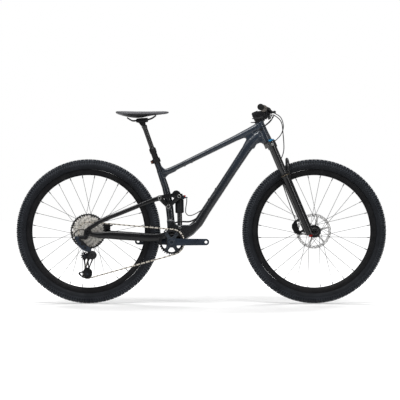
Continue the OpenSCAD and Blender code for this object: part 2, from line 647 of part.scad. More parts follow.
// Cranks and chainring
spider_angles = [58, 122, 238, 302];
function spider_at(a) = bb + 47 * [cos(a), sin(a)];
module at2(p) translate([p[0], p[1]]) children();
module arm_outline(tip) {
  hull() {
    at2(bb) circle(r = 19.5);
    at2(bb + [tip * 40, 0]) circle(r = 17.5);
  }
  hull() {
    at2(bb + [tip * 30, 0]) circle(r = 17.5);
    at2(bb + [tip * crank_length, 0]) circle(r = 16.5);
  }
}
module crank_right() {
  color([0.22, 0.26, 0.31]) difference() {
    union() {
      slab(-75, -62) arm_outline(1);
      pin(bb, -70, -46.2, 18.4);
      pin(bb, -47, 72, 12);
      slab(-58.5, -53.1) for (a = spider_angles) hull() {
        at2(bb) circle(r = 12);
        at2(spider_at(a)) circle(r = 7.5);
      }
    }
    pin(bb + [crank_length, 0], -90, -50, pedal_hole_r);
    pin(bb, -90, -72, 10);
    for (a = spider_angles) pin(spider_at(a), -70, -50, 4.1);
  }
}
module chainring() {
  color([0.06, 0.06, 0.07]) {
    slab(ring_y - 0.75, ring_y + 0.75) difference() {
      at2(bb) polygon(tooth_ring(ring_teeth, seat_angle(0)));
      difference() {
        at2(bb) circle(r = 53);
        for (a = spider_angles) hull() {
          at2(spider_at(a)) circle(r = 8);
          at2(bb + 58 * [cos(a), sin(a)]) circle(r = 11);
        }
      }
      for (a = spider_angles) at2(spider_at(a)) circle(r = 4.1);
    }
    for (a = spider_angles) {
      pin(spider_at(a), -59, -49.5, 4);
      pin(spider_at(a), -60.4, -58.7, 6);
      pin(spider_at(a), -50.8, -49, 6);
    }
  }
}
module crank_left() {
  color([0.22, 0.26, 0.31]) difference() {
    union() {
      slab(62, 75) arm_outline(-1);
      pin(bb, 46.2, 70, 18.4);
    }
    pin(bb - [crank_length, 0], 50, 90, pedal_hole_r);
    pin(bb, 40, 72.2, 12.02);
    pin(bb, 72, 90, 10);
  }
}
module cage_outline(web) {
  difference() {
    union() {
      hull() {
        at2(guide_at) circle(r = 10, $fn = 24);
        at2(cage_pivot) circle(r = 14, $fn = 24);
      }
      hull() {
        at2(guide_at) circle(r = 10, $fn = 24);
        at2(tension_at) circle(r = web, $fn = 24);
      }
    }
    at2((guide_at + tension_at) / 2 + [0, 5]) circle(r = 5);
    at2((guide_at + tension_at) / 2 - [0, 14]) circle(r = 5.5);
  }
}
module derailleur_cage() {
  color([0.07, 0.07, 0.08]) {
    difference() {
      slab(-52.2, -50.4) cage_outline(13);
      pin(cage_pivot, -60, -40, 5 + running_gap);
    }
    slab(-38.8, -37) difference() {
      cage_outline(15);
      at2(cage_pivot) circle(r = 16);
    }
    for (p = [guide_at, tension_at]) {
      pin(p, -50.4, -38.8, 3);
      pin(p, -53.4, -52.2, 4.5);
    }
  }
}
module pulley(at, i) {
  color([0.1, 0.1, 0.11]) difference() {
    union() {
      slab(chain_y - 1, chain_y + 1) difference() {
        at2(at) polygon(tooth_ring(pulley_teeth, seat_angle(i), 2));
        for (k = [0:4]) at2(at + polar(11.5, 72 * k)) circle(r = 3, $fn = 20);
      }
      pin(at, chain_y - 4.6, chain_y + 4.6, 6.5);
    }
    pin(at, -60, -30, 3 + running_gap);
  }
}
module guide_pulley() pulley(guide_at, 2);
module tension_pulley() pulley(tension_at, 1);

// Rocker and shock
module bar2(p, q, r) hull() {
  at2(p) circle(r = r, $fn = 24);
  at2(q) circle(r = r, $fn = 24);
}
hump = [-128, 556];
module rocker_outline() {
  at2(rocker_rear) circle(r = 14);
  at2(rocker_pivot) circle(r = 14.5);
  at2(shock_top) circle(r = 15.5);
  at2(hump) circle(r = 22);
  bar2(rocker_rear, rocker_pivot, 10.5);
  bar2(rocker_pivot, shock_top, 10.5);
  bar2(rocker_rear + [4, 4], hump, 10);
}
module rocker_link() {
  color([0.1, 0.11, 0.13]) difference() {
    union() {
      both_sides() slab(-34.5, -26) rocker_outline();
      pin([-128, 574], -26.5, 26.5, 4.5);
    }
    pin(rocker_pivot, -60, 60, 6 + running_gap);
    pin(rocker_rear, -60, 60, 8.7);
    pin(shock_top, -60, 60, 7.1);
  }
}
// Knob and lock lever, up the shock from its lower eye
knob_up = shock_length - 2;
lever_up = shock_length - 8;
module shock_shaft() {
  color([0.1, 0.1, 0.11]) along_shock() difference() {
    union() {
      translate([0, 0, 8]) cylinder(h = shock_length - 76, r = 12.4);
      rotate([90, 0, 0]) cylinder(h = 24.6, r = 13, center = true);
    }
    rotate([90, 0, 0]) cylinder(h = 40, r = 5 + running_gap, center = true);
  }
}
module shock_body() {
  color([0.06, 0.06, 0.07]) along_shock() difference() {
    union() {
      translate([0, 0, shock_length - 81]) cylinder(h = 62, r = 22);
      translate([0, 0, shock_length - 86]) cylinder(h = 5, r1 = 19, r2 = 22);
      translate([0, 0, shock_length - 20]) cylinder(h = 7, r1 = 21, r2 = 17);
      translate([0, 0, shock_length - 14]) cylinder(h = 27, r = 17);
      translate([0, 0, shock_length]) rotate([90, 0, 0]) cylinder(h = 32, r = 10, center = true);
      translate([0, 0, shock_length]) rotate([90, 0, 0]) cylinder(h = 76, r = 5, center = true);
      for (s = [-1, 1]) translate([0, 36.8 * s, shock_length]) rotate([90, 0, 0])
        cylinder(h = 3.6, r = 10.5, center = true);
      translate([10, 0, knob_up]) rotate([0, 90, 0]) cylinder(h = 14, r = 7);
      translate([19, -8.4, lever_up]) rotate([90, 0, 0]) cylinder(h = 7.6, r = 9);
    }
    translate([0, 0, shock_length - 100]) cylinder(h = 79, r = 12.4 + running_gap);
    for (s = [-1, 1]) translate([0, 39 * s, shock_length]) rotate([90, 0, 0]) cylinder(h = 4, r = 3.6, center = true);
  }
}
module shock_knob() {
  color([0.8, 0.08, 0.06]) along_shock() translate([24.3, 0, knob_up]) rotate([0, 90, 0]) difference() {
    cylinder(h = 8, r = 7.5);
    for (k = [0:11]) rotate(30 * k) translate([8.2, 0, -1]) cylinder(h = 12, r = 1.4, $fn = 16);
  }
}
module shock_lever() {
  color([0.35, 0.42, 0.5]) along_shock() translate([19, -16.4, lever_up]) rotate([90, 0, 0]) union() {
    cylinder(h = 5, r = 8.5);
    translate([0, -3.5, 0]) cube([19, 7, 4]);
    translate([19, 0, 0]) cylinder(h = 5, r = 4.5);
  }
}
module shock_cable() {
  route = [[-75, -19, 535], [-75, -19, 518], [-79, -17, 493], [-80, -12, 466], [-68, -6, 451], [-48, -2, 451],
    [-24, 0, 462], [-2, 0, 475]];
  // The lower end follows the down tube
  color([0.05, 0.05, 0.05])
    cable([for (q = route) [q[0] + (ahead(-2) + 2) * max(0, q[0] + 80) / 78, q[1], q[2]]], 2.2, 3);
}

// Saddle and post
saddle_forms = [[-437, 0, 978, 4, 42, 2.2], [-428, 0, 976, 7, 60, 2.3], [-404, 0, 972.5, 11, 71, 2.4],
  [-372, 0, 968.5, 14.5, 69, 2.4], [-340, 0, 966, 16.5, 56, 2.4], [-308, 0, 966.5, 16, 40, 2.4],
  [-278, 0, 969.5, 13, 29, 2.3], [-248, 0, 972.5, 10.5, 23, 2.3], [-212, 0, 974.5, 9, 19.5, 2.2],
  [-186, 0, 976, 7.5, 17, 2.2], [-172, 0, 977, 5, 13, 2.1], [-166, 0, 977.5, 2.5, 6, 2]];
module saddle_form() tube(saddle_forms, 2, 20);
module saddle_split(z0) {
  translate([-460, -100, 900]) slab_box(z0);
}
module slab_box(z0) {
  multmatrix([[1, 0, 0, 0], [0, 1, 0, 0], [0.02, 0, 1, 0], [0, 0, 0, 1]]) cube([320, 200, z0 - 900]);
}
module saddle_cover() {
  color([0.17, 0.17, 0.18]) difference() {
    saddle_form();
    saddle_split(962.5);
  }
}
module saddle_base() {
  color([0.06, 0.06, 0.06]) intersection() {
    saddle_form();
    saddle_split(962.3);
  }
}
module saddle_rails() {
  color([0.2, 0.2, 0.22]) both_sides() cable([[-380, -22, 950], [-364, -22, 940], [-350, -22, 934], [-334, -22, 935.5],
    [-300, -22, 938.5], [-270, -22, 941.5], [-252, -20, 948], [-240, -16, 956], [-232, -13, 962]], 3.5, 2, 8, [0, 1, 0]);
}
module seatpost_upper() {
  color([0.06, 0.06, 0.07]) {
    along_post() translate([0, 0, -10]) cylinder(h = 214, r = post_r);
    along_post() translate([0, 0, 196]) cylinder(h = 18, r1 = post_r, r2 = 15);
    pin([-296, 918], -16, 16, 11);
  }
}
module saddle_clamp() {
  color([0.12, 0.12, 0.13]) {
    translate([-303, 0, 930.2]) rotate([0, -5, 0]) translate([-29, -28, -1.6]) cube([58, 56, 5]);
    translate([-303, 0, 930.2]) rotate([0, -5, 0]) translate([-29, -28, 11.6]) cube([58, 56, 3.4]);
    for (x = [-331, -275]) rod([x, 0, 930.4 + (x + 303) * 0.087], [x, 0, 944 + (x + 303) * 0.087], 3);
  }
}

// Fork and cockpit, in the steering frame
brace_top = tyre_r + 5;
fork_places = [[leg_ahead, -leg_y], [leg_ahead, leg_y]];
module fork_crown() {
  color([0.05, 0.05, 0.06]) steering() {
    translate([0, 0, 470]) cylinder(h = 188, r = 14.3);
    translate([0, 0, 486]) cylinder(h = 7.6, r = 23.5);
    for (p = fork_places) translate([0, 0, 467]) linear_extrude(21) hull() {
      circle(r = 23);
      at2(p) circle(r = 19);
    }
    for (p = fork_places) translate([p[0], p[1], 0]) {
      translate([0, 0, 456]) cylinder(h = 36, r = 21);
      translate([0, 0, 150]) cylinder(h = 310, r = stanchion_r);
    }
  }
}
module fork_lockout() {
  color([0.1, 0.35, 0.75]) steering() translate([leg_ahead, -leg_y, 492.4]) union() {
    cylinder(h = 9, r = 11.5);
    translate([0, -3.5, 0]) cube([18, 7, 6]);
  }
}
module fork_lowers() {
  color([0.05, 0.05, 0.06]) steering() difference() {
    resize([0, 0, 0]) union() {
      for (p = fork_places) translate([p[0], p[1], 0]) {
        translate([0, 0, -22]) cylinder(h = 320, r1 = 20.4, r2 = 21.6);
        translate([0, 0, 293]) cylinder(h = 14, r = 23);
      }
      both_sides() slab(55.4, 79) hull() {
        at2([leg_ahead, -4]) circle(r = 17);
        at2([axle_ahead, axle_drop]) circle(r = 17);
      }
      // Brace over the tyre
      tube([[26, -67, 276, 12, 11, 2.4], [38, -64, brace_top - 56, 11, 9, 2.4], [50, -53, brace_top - 24, 11, 8, 2.4],
        [56, -30, brace_top - 5, 11, 7.5, 2.4], [57.5, 0, brace_top, 11, 7, 2.4], [56, 30, brace_top - 5, 11, 7.5, 2.4],
        [50, 53, brace_top - 24, 11, 8, 2.4], [38, 64, brace_top - 56, 11, 9, 2.4], [26, 67, 276, 12, 11, 2.4]],
        2, 12, [1, 0, 0]);
      // Brake posts behind the left leg
      rod([6, 62, 64], [-26, 50, 64], 7);
      rod([6, 62, 4], [-22, 50, 4], 7);
    }
    for (p = fork_places) translate([p[0], p[1], 40]) cylinder(h = 300, r = stanchion_r + running_gap);
    translate([axle_ahead, 0, axle_drop]) rotate([90, 0, 0]) cylinder(h = 300, r = 7.55, center = true);
    translate([-60, 20, -20]) cube([42, 33.6, 110]);
    // Seat of the rebound knob
    translate([leg_ahead, -leg_y, -60]) cylinder(h = 38.2, r = 9.7);
  }
}
module front_caliper() {
  color([0.05, 0.05, 0.06]) steering() difference() {
    union() {
      slab(27, 53) polygon([[-52, 10], [-55, 40], [-48, 56], [-20, 74], [-18.4, 60], [-24, 40], [-24, 14], [-18.4, 8],
        [-19, -6], [-34, -6]]);
      slab(24, 56) polygon([[-50, 14], [-52, 40], [-44, 50], [-32, 46], [-30, 20], [-36, 10]]);
    }
    translate([axle_ahead, 0, axle_drop]) rotate([90, 0, 0]) translate([0, 0, -front_disc_y - 1.7])
      cylinder(h = 3.4, r = front_disc_r + 3);
  }
}
module front_axle() {
  color([0.1, 0.1, 0.11]) difference() {
    union() {
      pin(front_axle_at, -80, 80, 7.5);
      pin(front_axle_at, -84, -79.2, 11);
      pin(front_axle_at, 79.2, 83, 11);
    }
    pin(front_axle_at, -100, 100, axle_bore_r);
  }
}
module rebound_knob() {
  color([0.8, 0.08, 0.06]) steering() translate([leg_ahead, -leg_y, -33.4]) difference() {
    cylinder(h = 11, r = 9);
    for (k = [0:11]) rotate(30 * k) translate([9.8, 0, -1]) cylinder(h = 8, r = 1.5, $fn = 16);
  }
}
module front_tyre() on_axle(front_axle_at) tyre();
module front_rim() on_axle(front_axle_at) rim();
module front_spokes() on_axle(front_axle_at) spokes(-28, 34, 28.5);
module front_rotor() on_axle(front_axle_at) disc(front_disc_r, -front_disc_y, 17);
module front_hub() {
  color([0.08, 0.08, 0.09]) on_axle(front_axle_at) rotate_extrude() polygon([[7.55, -54.8], [11, -54.8],
    [11, -43.5], [15, -43.5], [16.9, -42.5], [16.9, -38.5], [22, -38.5], [22, -35], [15, -33], [20, -29.6],
    [32, -29.6], [32, -26.4], [20, -26.4], [14, -18], [14, 24], [20, 32.4], [32, 32.4], [32, 35.6], [20, 35.6],
    [13, 40], [11, 44], [11, 54.8], [7.55, 54.8]]);
}
bar_at = [front_x - 240.9, 0, 982.5];
module stem() {
  color([0.06, 0.06, 0.07]) {
    // Spacers and top cap
    steering() translate([0, 0, 612.8]) difference() {
      cylinder(h = 9, r = 17.5);
      translate([0, 0, -1]) cylinder(h = 12, r = 14.4);
    }
    steering() translate([0, 0, 660.2]) cylinder(h = 4, r = 16);
    difference() {
      union() {
        steering() translate([0, 0, 622]) cylinder(h = 38, r = 19);
        steering() translate([2, -17, 627]) cube([58, 34, 28]);
        translate(bar_at) rotate([90, 0, 0]) cylinder(h = 50, r = 21, center = true);
      }
      steering() translate([0, 0, 600]) cylinder(h = 59, r = 14.35);
      translate(bar_at) rotate([90, 0, 0]) cylinder(h = 80, r = 16, center = true);
      translate([bar_at[0] + 6, -40, bar_at[2] - 30]) cube([1.2, 80, 60]);
    }
  }
}
half_bar = bar_width / 2;
function grip_x(y) = front_x - 254.1 - 0.1646 * (y - 255);
// Sweep of the outer bar, back and down from the drawn line
sweep = [-14, 0, -18.5];
module handlebar() {
  far = [for (y = [168, 210, 255, 320, half_bar - 2]) [grip_x(y) + sweep[0], y, 1001 + sweep[2], 11.1, 11.1, 2]];
  half = concat([[bar_at[0], 38, 982.5, 15.9, 15.9, 2], [bar_at[0] - 1, 66, 982.5, 14.5, 14.5, 2],
    [bar_at[0] - 4.6, 100, 982.5, 12.4, 12.4, 2], [bar_at[0] - 9.2, 138, 982.5, 11.1, 11.1, 2]], far);
  color([0.06, 0.06, 0.07]) tube(concat(
    [for (i = [len(half) - 1:-1:0]) [half[i][0], -half[i][1], half[i][2], half[i][3], half[i][4], 2]],
    [[bar_at[0], 0, 982.5, 15.9, 15.9, 2]], half), 1, 14, [0, 0, 1]);
}
module grip_line(y0, y1, r) rod([grip_x(y0), -y0, 1001], [grip_x(y1), -y1, 1001], r);
module grips() {
  color([0.1, 0.1, 0.1]) translate(sweep) both_sides() difference() {
    union() {
      grip_line(258, half_bar, 15.4);
      grip_line(258, 264, 17.5);
      grip_line(half_bar - 9, half_bar - 1.5, 16);
    }
    grip_line(250, half_bar - 1.6, 11.25);
  }
}
// Brake lever pin and thumb lever pin
lever_x = front_x - 217.5;
thumb_x = front_x - 242.5;
module bar_controls() {
  color([0.06, 0.06, 0.07]) translate(sweep) {
    both_sides() difference() {
      union() {
        grip_line(176, 190, 15.5);
        grip_line(204, 216, 15.5);
        rod([lever_x - 16, -183, 996], [lever_x - 4, -176, 987], 9);
        rod([lever_x - 4, -178, 987], [lever_x - 14, -116, 990], 8.5);
        translate([lever_x, -196, 978.4]) cylinder(h = 3, r = 8);
        translate([lever_x, -196, 992.6]) cylinder(h = 3, r = 8);
        translate([lever_x - 7, -196, 978.4]) cube([14, 20, 3]);
        translate([lever_x - 7, -196, 992.6]) cube([14, 20, 3]);
        translate([lever_x, -196, 978]) cylinder(h = 17.6, r = 2.6);
        rod([thumb_x, -210, 992], [thumb_x, -210, 964], 13);
        translate([thumb_x, -210, 950]) cylinder(h = 16, r = 2.6);
        translate([thumb_x, -210, 949.4]) cylinder(h = 3, r = 5);
      }
      grip_line(150, 240, 11.25);
    }
  }
}
module blade() {
  color([0.12, 0.12, 0.13]) translate(sweep) difference() {
    resize([0, 0, 0]) union() {
      translate([lever_x, -196, 981.8]) cylinder(h = 10.4, r = 7);
      tube([[lever_x + 1, -198, 987, 4.5, 5, 2.4], [lever_x + 12, -216, 986, 5, 4.5, 2.4], [lever_x + 19, -244, 984, 6, 3.6, 2.4],
        [lever_x + 19, -276, 982, 6.5, 3.4, 2.4], [lever_x + 14, -306, 981, 6.5, 3.4, 2.4], [lever_x + 12, -326, 980.5, 6, 3.6, 2.4],
        [lever_x + 14, -334, 980.5, 3.5, 2.4, 2.2]], 2, 10, [1, 0, 0]);
    }
    translate([lever_x, -196, 970]) cylinder(h = 40, r = 2.6 + running_gap);
  }
}
module brake_blade_right() blade();
module brake_blade_left() mirror([0, 1, 0]) blade();
module paddle(reach) {
  color([0.1, 0.1, 0.11]) translate(sweep) difference() {
    resize([0, 0, 0]) union() {
      translate([thumb_x, -210, 953]) cylinder(h = 10, r = 8);
      tube([[thumb_x - 3, -209, 958, 4, 4, 2.4], [thumb_x - 23, -206, 957, 3.4, 4.5, 2.4], [thumb_x - 43, -202, 955, 3, 6, 2.4],
        [thumb_x - reach, -198, 954, 2.6, 8, 2.4], [thumb_x - 6 - reach, -197, 953.6, 2, 6, 2.2]], 2, 10);
    }
    translate([thumb_x, -210, 940]) cylinder(h = 40, r = 2.6 + running_gap);
  }
}
module shift_lever() paddle(62);
module dropper_lever() mirror([0, 1, 0]) paddle(56);
module lockout_cable() {
  color([0.05, 0.05, 0.05]) translate([front_shift, 0, 0]) cable([[332.5, -119, 971.4], [352, -107, 970], [374, -95, 966],
    [404, -84, 944], [416, -76, 900], [404, -70, 862], [384, -67, 838], [372, -67, 829]], 2.2, 3);
}
module frame_cables() {
  color([0.05, 0.05, 0.05]) translate([front_shift, 0, 0]) {
    cable([[332.5, 119, 971.4], [358, 84, 968], [366, 54, 952], [352, 36, 930], [325, 31, 908], [306, 27, 893]], 2.4, 2);
    cable([[338, -198, 952], [356, -150, 956], [368, -90, 958], [362, -54, 946], [344, -36, 926], [321, -31, 906],
      [302, -27, 891]], 2.4, 2);
  }
}
module front_brake_hose() {
  over = brace_top + 38;
  color([0.05, 0.05, 0.05]) steering() cable([[51.8, 119, 632.4], [69.6, 104, 624.4], [94.5, 84, 606.3],
    [108.8, 52, 563.3], [92, 30, 503.1], [70, 24, over + 29], [54, 34, over], [30, 43, over - 28], [8, 40, over - 67],
    [-6, 38, 300], [-14, 38, 210], [-19, 39, 130], [-21.5, 40, 74.6]], 2.4, 2);
}

// Stands the whole bicycle on the ground, with the middle of its wheelbase at X = 0
translate([-(front_x + rear_x) / 2, 0, tyre_r - axle_z]) {
  front_frame();
  frame_inserts();
  seat_clamp();
  seatpost_lower();
  pivot_axles();
  rear_triangle();
  rear_pivot_bolts();
  derailleur_knuckles();
  derailleur_link();
  rear_axle();
  rear_caliper();
  rear_hoses();
  shift_loop();
  chain();
  rear_tyre();
  rear_rim();
  rear_spokes();
  rear_hub();
  rear_rotor();
  freehub();
  cassette_cogs();
  crank_right();
  chainring();
  crank_left();
  derailleur_cage();
  guide_pulley();
  tension_pulley();
  rocker_link();
  shock_shaft();
  shock_body();
  shock_knob();
  shock_lever();
  shock_cable();
  seatpost_upper();
  saddle_clamp();
  saddle_rails();
  saddle_base();
  saddle_cover();
  fork_crown();
  stem();
  handlebar();
  grips();
  bar_controls();
  lockout_cable();
  frame_cables();
  front_brake_hose();
  brake_blade_right();
  brake_blade_left();
  shift_lever();
  dropper_lever();
  fork_lockout();
  fork_lowers();
  front_caliper();
  front_axle();
  rebound_knob();
  front_tyre();
  front_rim();
  front_spokes();
  front_hub();
  front_rotor();
}
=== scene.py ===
"""Full suspension mountain bike: finishes, smooth shells, cables and the studio round the fixed frame."""
import math

import bpy
from mathutils import Matrix, Vector


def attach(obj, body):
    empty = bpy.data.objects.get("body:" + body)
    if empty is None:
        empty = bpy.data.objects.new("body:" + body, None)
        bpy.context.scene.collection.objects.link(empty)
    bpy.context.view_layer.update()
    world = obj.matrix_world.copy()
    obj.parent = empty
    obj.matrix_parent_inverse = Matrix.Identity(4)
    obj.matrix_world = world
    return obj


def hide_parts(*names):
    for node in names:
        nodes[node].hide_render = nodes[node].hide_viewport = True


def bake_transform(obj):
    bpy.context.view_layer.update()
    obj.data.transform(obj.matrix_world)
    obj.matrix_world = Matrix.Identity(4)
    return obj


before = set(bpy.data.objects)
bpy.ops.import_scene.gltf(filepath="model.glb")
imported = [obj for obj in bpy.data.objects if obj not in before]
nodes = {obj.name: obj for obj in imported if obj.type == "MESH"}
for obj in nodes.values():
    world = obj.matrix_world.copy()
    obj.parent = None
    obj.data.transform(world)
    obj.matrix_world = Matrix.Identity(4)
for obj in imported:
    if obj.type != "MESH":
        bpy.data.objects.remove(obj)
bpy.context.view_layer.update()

# Main places of the bike, in metres
REAR_AXLE = Vector((-0.5775, 0.0, 0.369))
FRONT_AXLE = Vector((0.5775, 0.0, 0.369))
STEER_FOOT = Vector((0.5319, 0.0, 0.369))
HEAD_LEAN = math.radians(23.0)
STEER_TURN = Matrix.Rotation(-HEAD_LEAN, 4, "Y")
SIDES = ((1.0, "left"), (-1.0, "right"))


def in_steering(x, y, t):
    """A point given in the steering axis' own directions, in millimetres."""
    return STEER_FOOT + STEER_TURN @ (Vector((x, y, t)) / 1000.0)


# Camera at the photograph's viewing angle
VIEW_DISTANCE = 8.0
VIEW_WIDTH = 2.048
VIEW_X = -0.007
VIEW_Z = 0.529
SENSOR_WIDTH = 36.0
LEVEL_VIEW = (math.radians(90.0), 0.0, 0.0)
bpy.ops.object.camera_add(location=(VIEW_X, -VIEW_DISTANCE, VIEW_Z), rotation=LEVEL_VIEW)
camera = bpy.context.object
camera.data.sensor_width = SENSOR_WIDTH
camera.data.lens = SENSOR_WIDTH * VIEW_DISTANCE / VIEW_WIDTH
bpy.context.scene.camera = camera
bpy.context.scene.view_settings.view_transform = "Standard"


# Small tools for modelling by hand
JOIN_GAP = 0.00002
PLATE_JOIN_GAP = 0.00001
CREASE_ANGLE = math.radians(35.0)
TURNED_CREASE = math.radians(40.0)


def deselect():
    if bpy.context.object and bpy.context.object.mode != "OBJECT":
        bpy.ops.object.mode_set(mode="OBJECT")
    bpy.ops.object.select_all(action="DESELECT")


def pick(obj):
    deselect()
    obj.select_set(True)
    bpy.context.view_layer.objects.active = obj


def apply_all(obj):
    pick(obj)
    for modifier in list(obj.modifiers):
        bpy.ops.object.modifier_apply(modifier=modifier.name)


def settle(obj):
    """Puts a piece's place into its mesh."""
    pick(obj)
    bpy.ops.object.transform_apply(location=True, rotation=True, scale=True)


def added(name, data):
    """A new object in the scene, picked."""
    piece = bpy.data.objects.new(name, data)
    bpy.context.scene.collection.objects.link(piece)
    pick(piece)
    return piece


def dress(obj, finish):
    obj.data.materials.clear()
    obj.data.materials.append(finish)


def fit(piece, finish, body, node=None):
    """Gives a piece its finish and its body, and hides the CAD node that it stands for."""
    dress(piece, finishes[finish])
    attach(piece, body)
    if node:
        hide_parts(node)
    return piece


def merged_copy(node, name):
    """A copy of a CAD node with its loose triangles joined."""
    piece = added(name, nodes[node].data.copy())
    bpy.ops.object.mode_set(mode="EDIT")
    bpy.ops.mesh.select_all(action="SELECT")
    bpy.ops.mesh.remove_doubles(threshold=JOIN_GAP)
    bpy.ops.object.mode_set(mode="OBJECT")
    return piece


def smooth_shell(node, name, voxel, rounds, body, slot, finish):
    """A faceted CAD piece remade as one smooth skin that stands for it."""
    piece = merged_copy(node, name)
    remesh = piece.modifiers.new("skin", "REMESH")
    remesh.mode = "VOXEL"
    remesh.voxel_size = voxel
    remesh.use_smooth_shade = True
    relax = piece.modifiers.new("relax", "SMOOTH")
    relax.factor = 0.5
    relax.iterations = rounds
    apply_all(piece)
    bpy.ops.object.shade_smooth()
    return fit(piece, finish, body, node)


def round_off(node, width):
    """Joins a CAD node's triangles for shading and eases its edges."""
    obj = nodes[node]
    pick(obj)
    bpy.ops.object.shade_smooth()
    weld = obj.modifiers.new("join", "WELD")
    weld.merge_threshold = JOIN_GAP
    if width > 0.0:
        ease = obj.modifiers.new("ease", "BEVEL")
        ease.width = width
        ease.segments = 2
        ease.limit_method = "ANGLE"
        ease.angle_limit = CREASE_ANGLE
        ease.use_clamp_overlap = True
    split = obj.modifiers.new("crease", "EDGE_SPLIT")
    split.split_angle = CREASE_ANGLE


def between(a, b, c, d, t):
    """The place at a share t of the smooth stretch from b to c, with a before it and d after."""
    return 0.5 * (2 * b + (c - a) * t + (2 * a - 5 * b + 4 * c - d) * t * t
                  + (3 * b - a - 3 * c + d) * t * t * t)


# Finishes
SLATE_FROM_Z = 0.46
SLATE_RISE = 1.7
SLATE_TONES = [(0.25, (0.003, 0.0035, 0.005)), (0.6, (0.007, 0.0105, 0.017)), (1.0, (0.016, 0.025, 0.04))]
# Tone of the highlight painted on the frame's sharp edges
SLATE_EDGE_HIGHLIGHT = (0.07, 0.095, 0.125, 1.0)
WEAVE_SCALE = 260.0
WEAVE_TONE = (0.024, 0.033, 0.046, 1.0)
# Rim tones from black to a pale grey, the pale grey being painted reflection
RIM_TONES_AND_SHEEN = [(0.4, (0.005, 0.005, 0.006)), (0.62, (0.01, 0.01, 0.011)), (0.85, (0.045, 0.045, 0.048))]
COG_STEP = 0.00358
SMALLEST_COG_Y = -0.066
LARGEST_COG_Y = -0.0284
COG_TURN = 1.9
ARM_COUNT = 9.0
ARM_SWEEP = 55.0
# Painted shade for the windows between the cog arms
PAINTED_WINDOW_SHADE = (0.11, 0.102, 0.09, 1.0)
# Tone of the glints painted on the cogs
COG_GLINT = (0.93, 0.92, 0.9, 1.0)
COG_BLACK = (0.008, 0.008, 0.009, 1.0)
CRANK_INNER_Y = 0.0605
CRANK_INNER = (0.006, 0.006, 0.007, 1.0)
GRIP_END_Y = 0.3745
GRIP_END = (0.01, 0.01, 0.01, 1.0)
GRAIN_CELLS = 620.0
GRAIN_TONE = (0.1, 0.1, 0.11, 1.0)


class Wiring:
    """Nodes of one tree, added and joined one by one."""

    def __init__(self, tree):
        self.tree = tree

    def add(self, kind, **values):
        node = self.tree.nodes.new(kind)
        for key, value in values.items():
            setattr(node, key, value)
        return node

    def link(self, source, target):
        self.tree.links.new(source, target)

    def feed(self, value, socket):
        """Joins a socket to another node's result, or sets it to a plain value."""
        if hasattr(value, "is_linked"):
            self.link(value, socket)
        else:
            socket.default_value = value

    def math(self, operation, a, b=0.0):
        node = self.add("ShaderNodeMath", operation=operation)
        for value, socket in zip((a, b), node.inputs):
            self.feed(value, socket)
        return node.outputs[0]

    def spread(self, source, low, high, start=0.3, end=0.7):
        """Low below the start, high above the end, and even between them."""
        node = self.add("ShaderNodeMapRange")
        for socket, value in zip(("From Min", "From Max", "To Min", "To Max"), (start, end, low, high)):
            node.inputs[socket].default_value = value
        self.link(source, node.inputs["Value"])
        return node.outputs["Result"]


class Finish(Wiring):
    """One procedural material, built node by node on the piece's own coordinates."""

    def __init__(self, name):
        self.material = bpy.data.materials.new(name)
        self.material.use_nodes = True
        super().__init__(self.material.node_tree)
        self.shader = self.tree.nodes["Principled BSDF"]
        self.place = self.add("ShaderNodeTexCoord").outputs["Object"]

    def mapped(self, socket, value):
        """The piece's coordinates, stretched or turned."""
        mapping = self.add("ShaderNodeMapping")
        mapping.inputs[socket].default_value = value
        self.link(self.place, mapping.inputs["Vector"])
        return mapping.outputs["Vector"]

    def noise(self, scale, detail=4.0, rough=0.55, stretch=None):
        node = self.add("ShaderNodeTexNoise")
        node.inputs["Scale"].default_value = scale
        node.inputs["Detail"].default_value = detail
        node.inputs["Roughness"].default_value = rough
        self.link(self.mapped("Scale", stretch) if stretch else self.place, node.inputs["Vector"])
        return node.outputs["Fac"]

    def bands(self, scale, direction="DIAGONAL", turn=None):
        node = self.add("ShaderNodeTexWave", bands_direction=direction)
        node.inputs["Scale"].default_value = scale
        node.inputs["Distortion"].default_value = 0.0
        self.link(self.mapped("Rotation", turn) if turn else self.place, node.inputs["Vector"])
        return node.outputs["Fac"]

    def ramp(self, source, stops):
        node = self.add("ShaderNodeValToRGB")
        elements = node.color_ramp.elements
        while len(elements) < len(stops):
            elements.new(0.5)
        for element, (place, tone) in zip(elements, stops):
            element.position = place
            element.color = (*tone, 1.0)
        self.link(source, node.inputs["Fac"])
        return node.outputs["Color"]

    def clouds(self, source, dark, light):
        """Dark to light over the middle of a pattern."""
        return self.ramp(source, [(0.3, dark), (0.7, light)])

    def mask(self, source, start, end):
        """Black below the start of a pattern, white above its end."""
        return self.ramp(source, [(start, (0.0, 0.0, 0.0)), (end, (1.0, 1.0, 1.0))])

    def mix(self, fac, a, b):
        node = self.add("ShaderNodeMix", data_type="RGBA")
        for value, socket in ((fac, node.inputs[0]), (a, node.inputs[6]), (b, node.inputs[7])):
            self.feed(value, socket)
        return node.outputs[2]

    def part(self, axis):
        split = self.add("ShaderNodeSeparateXYZ")
        self.link(self.place, split.inputs[0])
        return split.outputs[axis]

    def colour(self, source):
        self.link(source, self.shader.inputs["Base Color"])

    def roughness(self, source, low, high):
        self.link(self.spread(source, low, high), self.shader.inputs["Roughness"])

    def bump(self, source, strength, distance):
        node = self.add("ShaderNodeBump")
        node.inputs["Strength"].default_value = strength
        node.inputs["Distance"].default_value = distance
        self.link(source, node.inputs["Height"])
        self.link(node.outputs["Normal"], self.shader.inputs["Normal"])

    def set(self, **values):
        for key, value in values.items():
            self.shader.inputs[key.replace("_", " ")].default_value = value


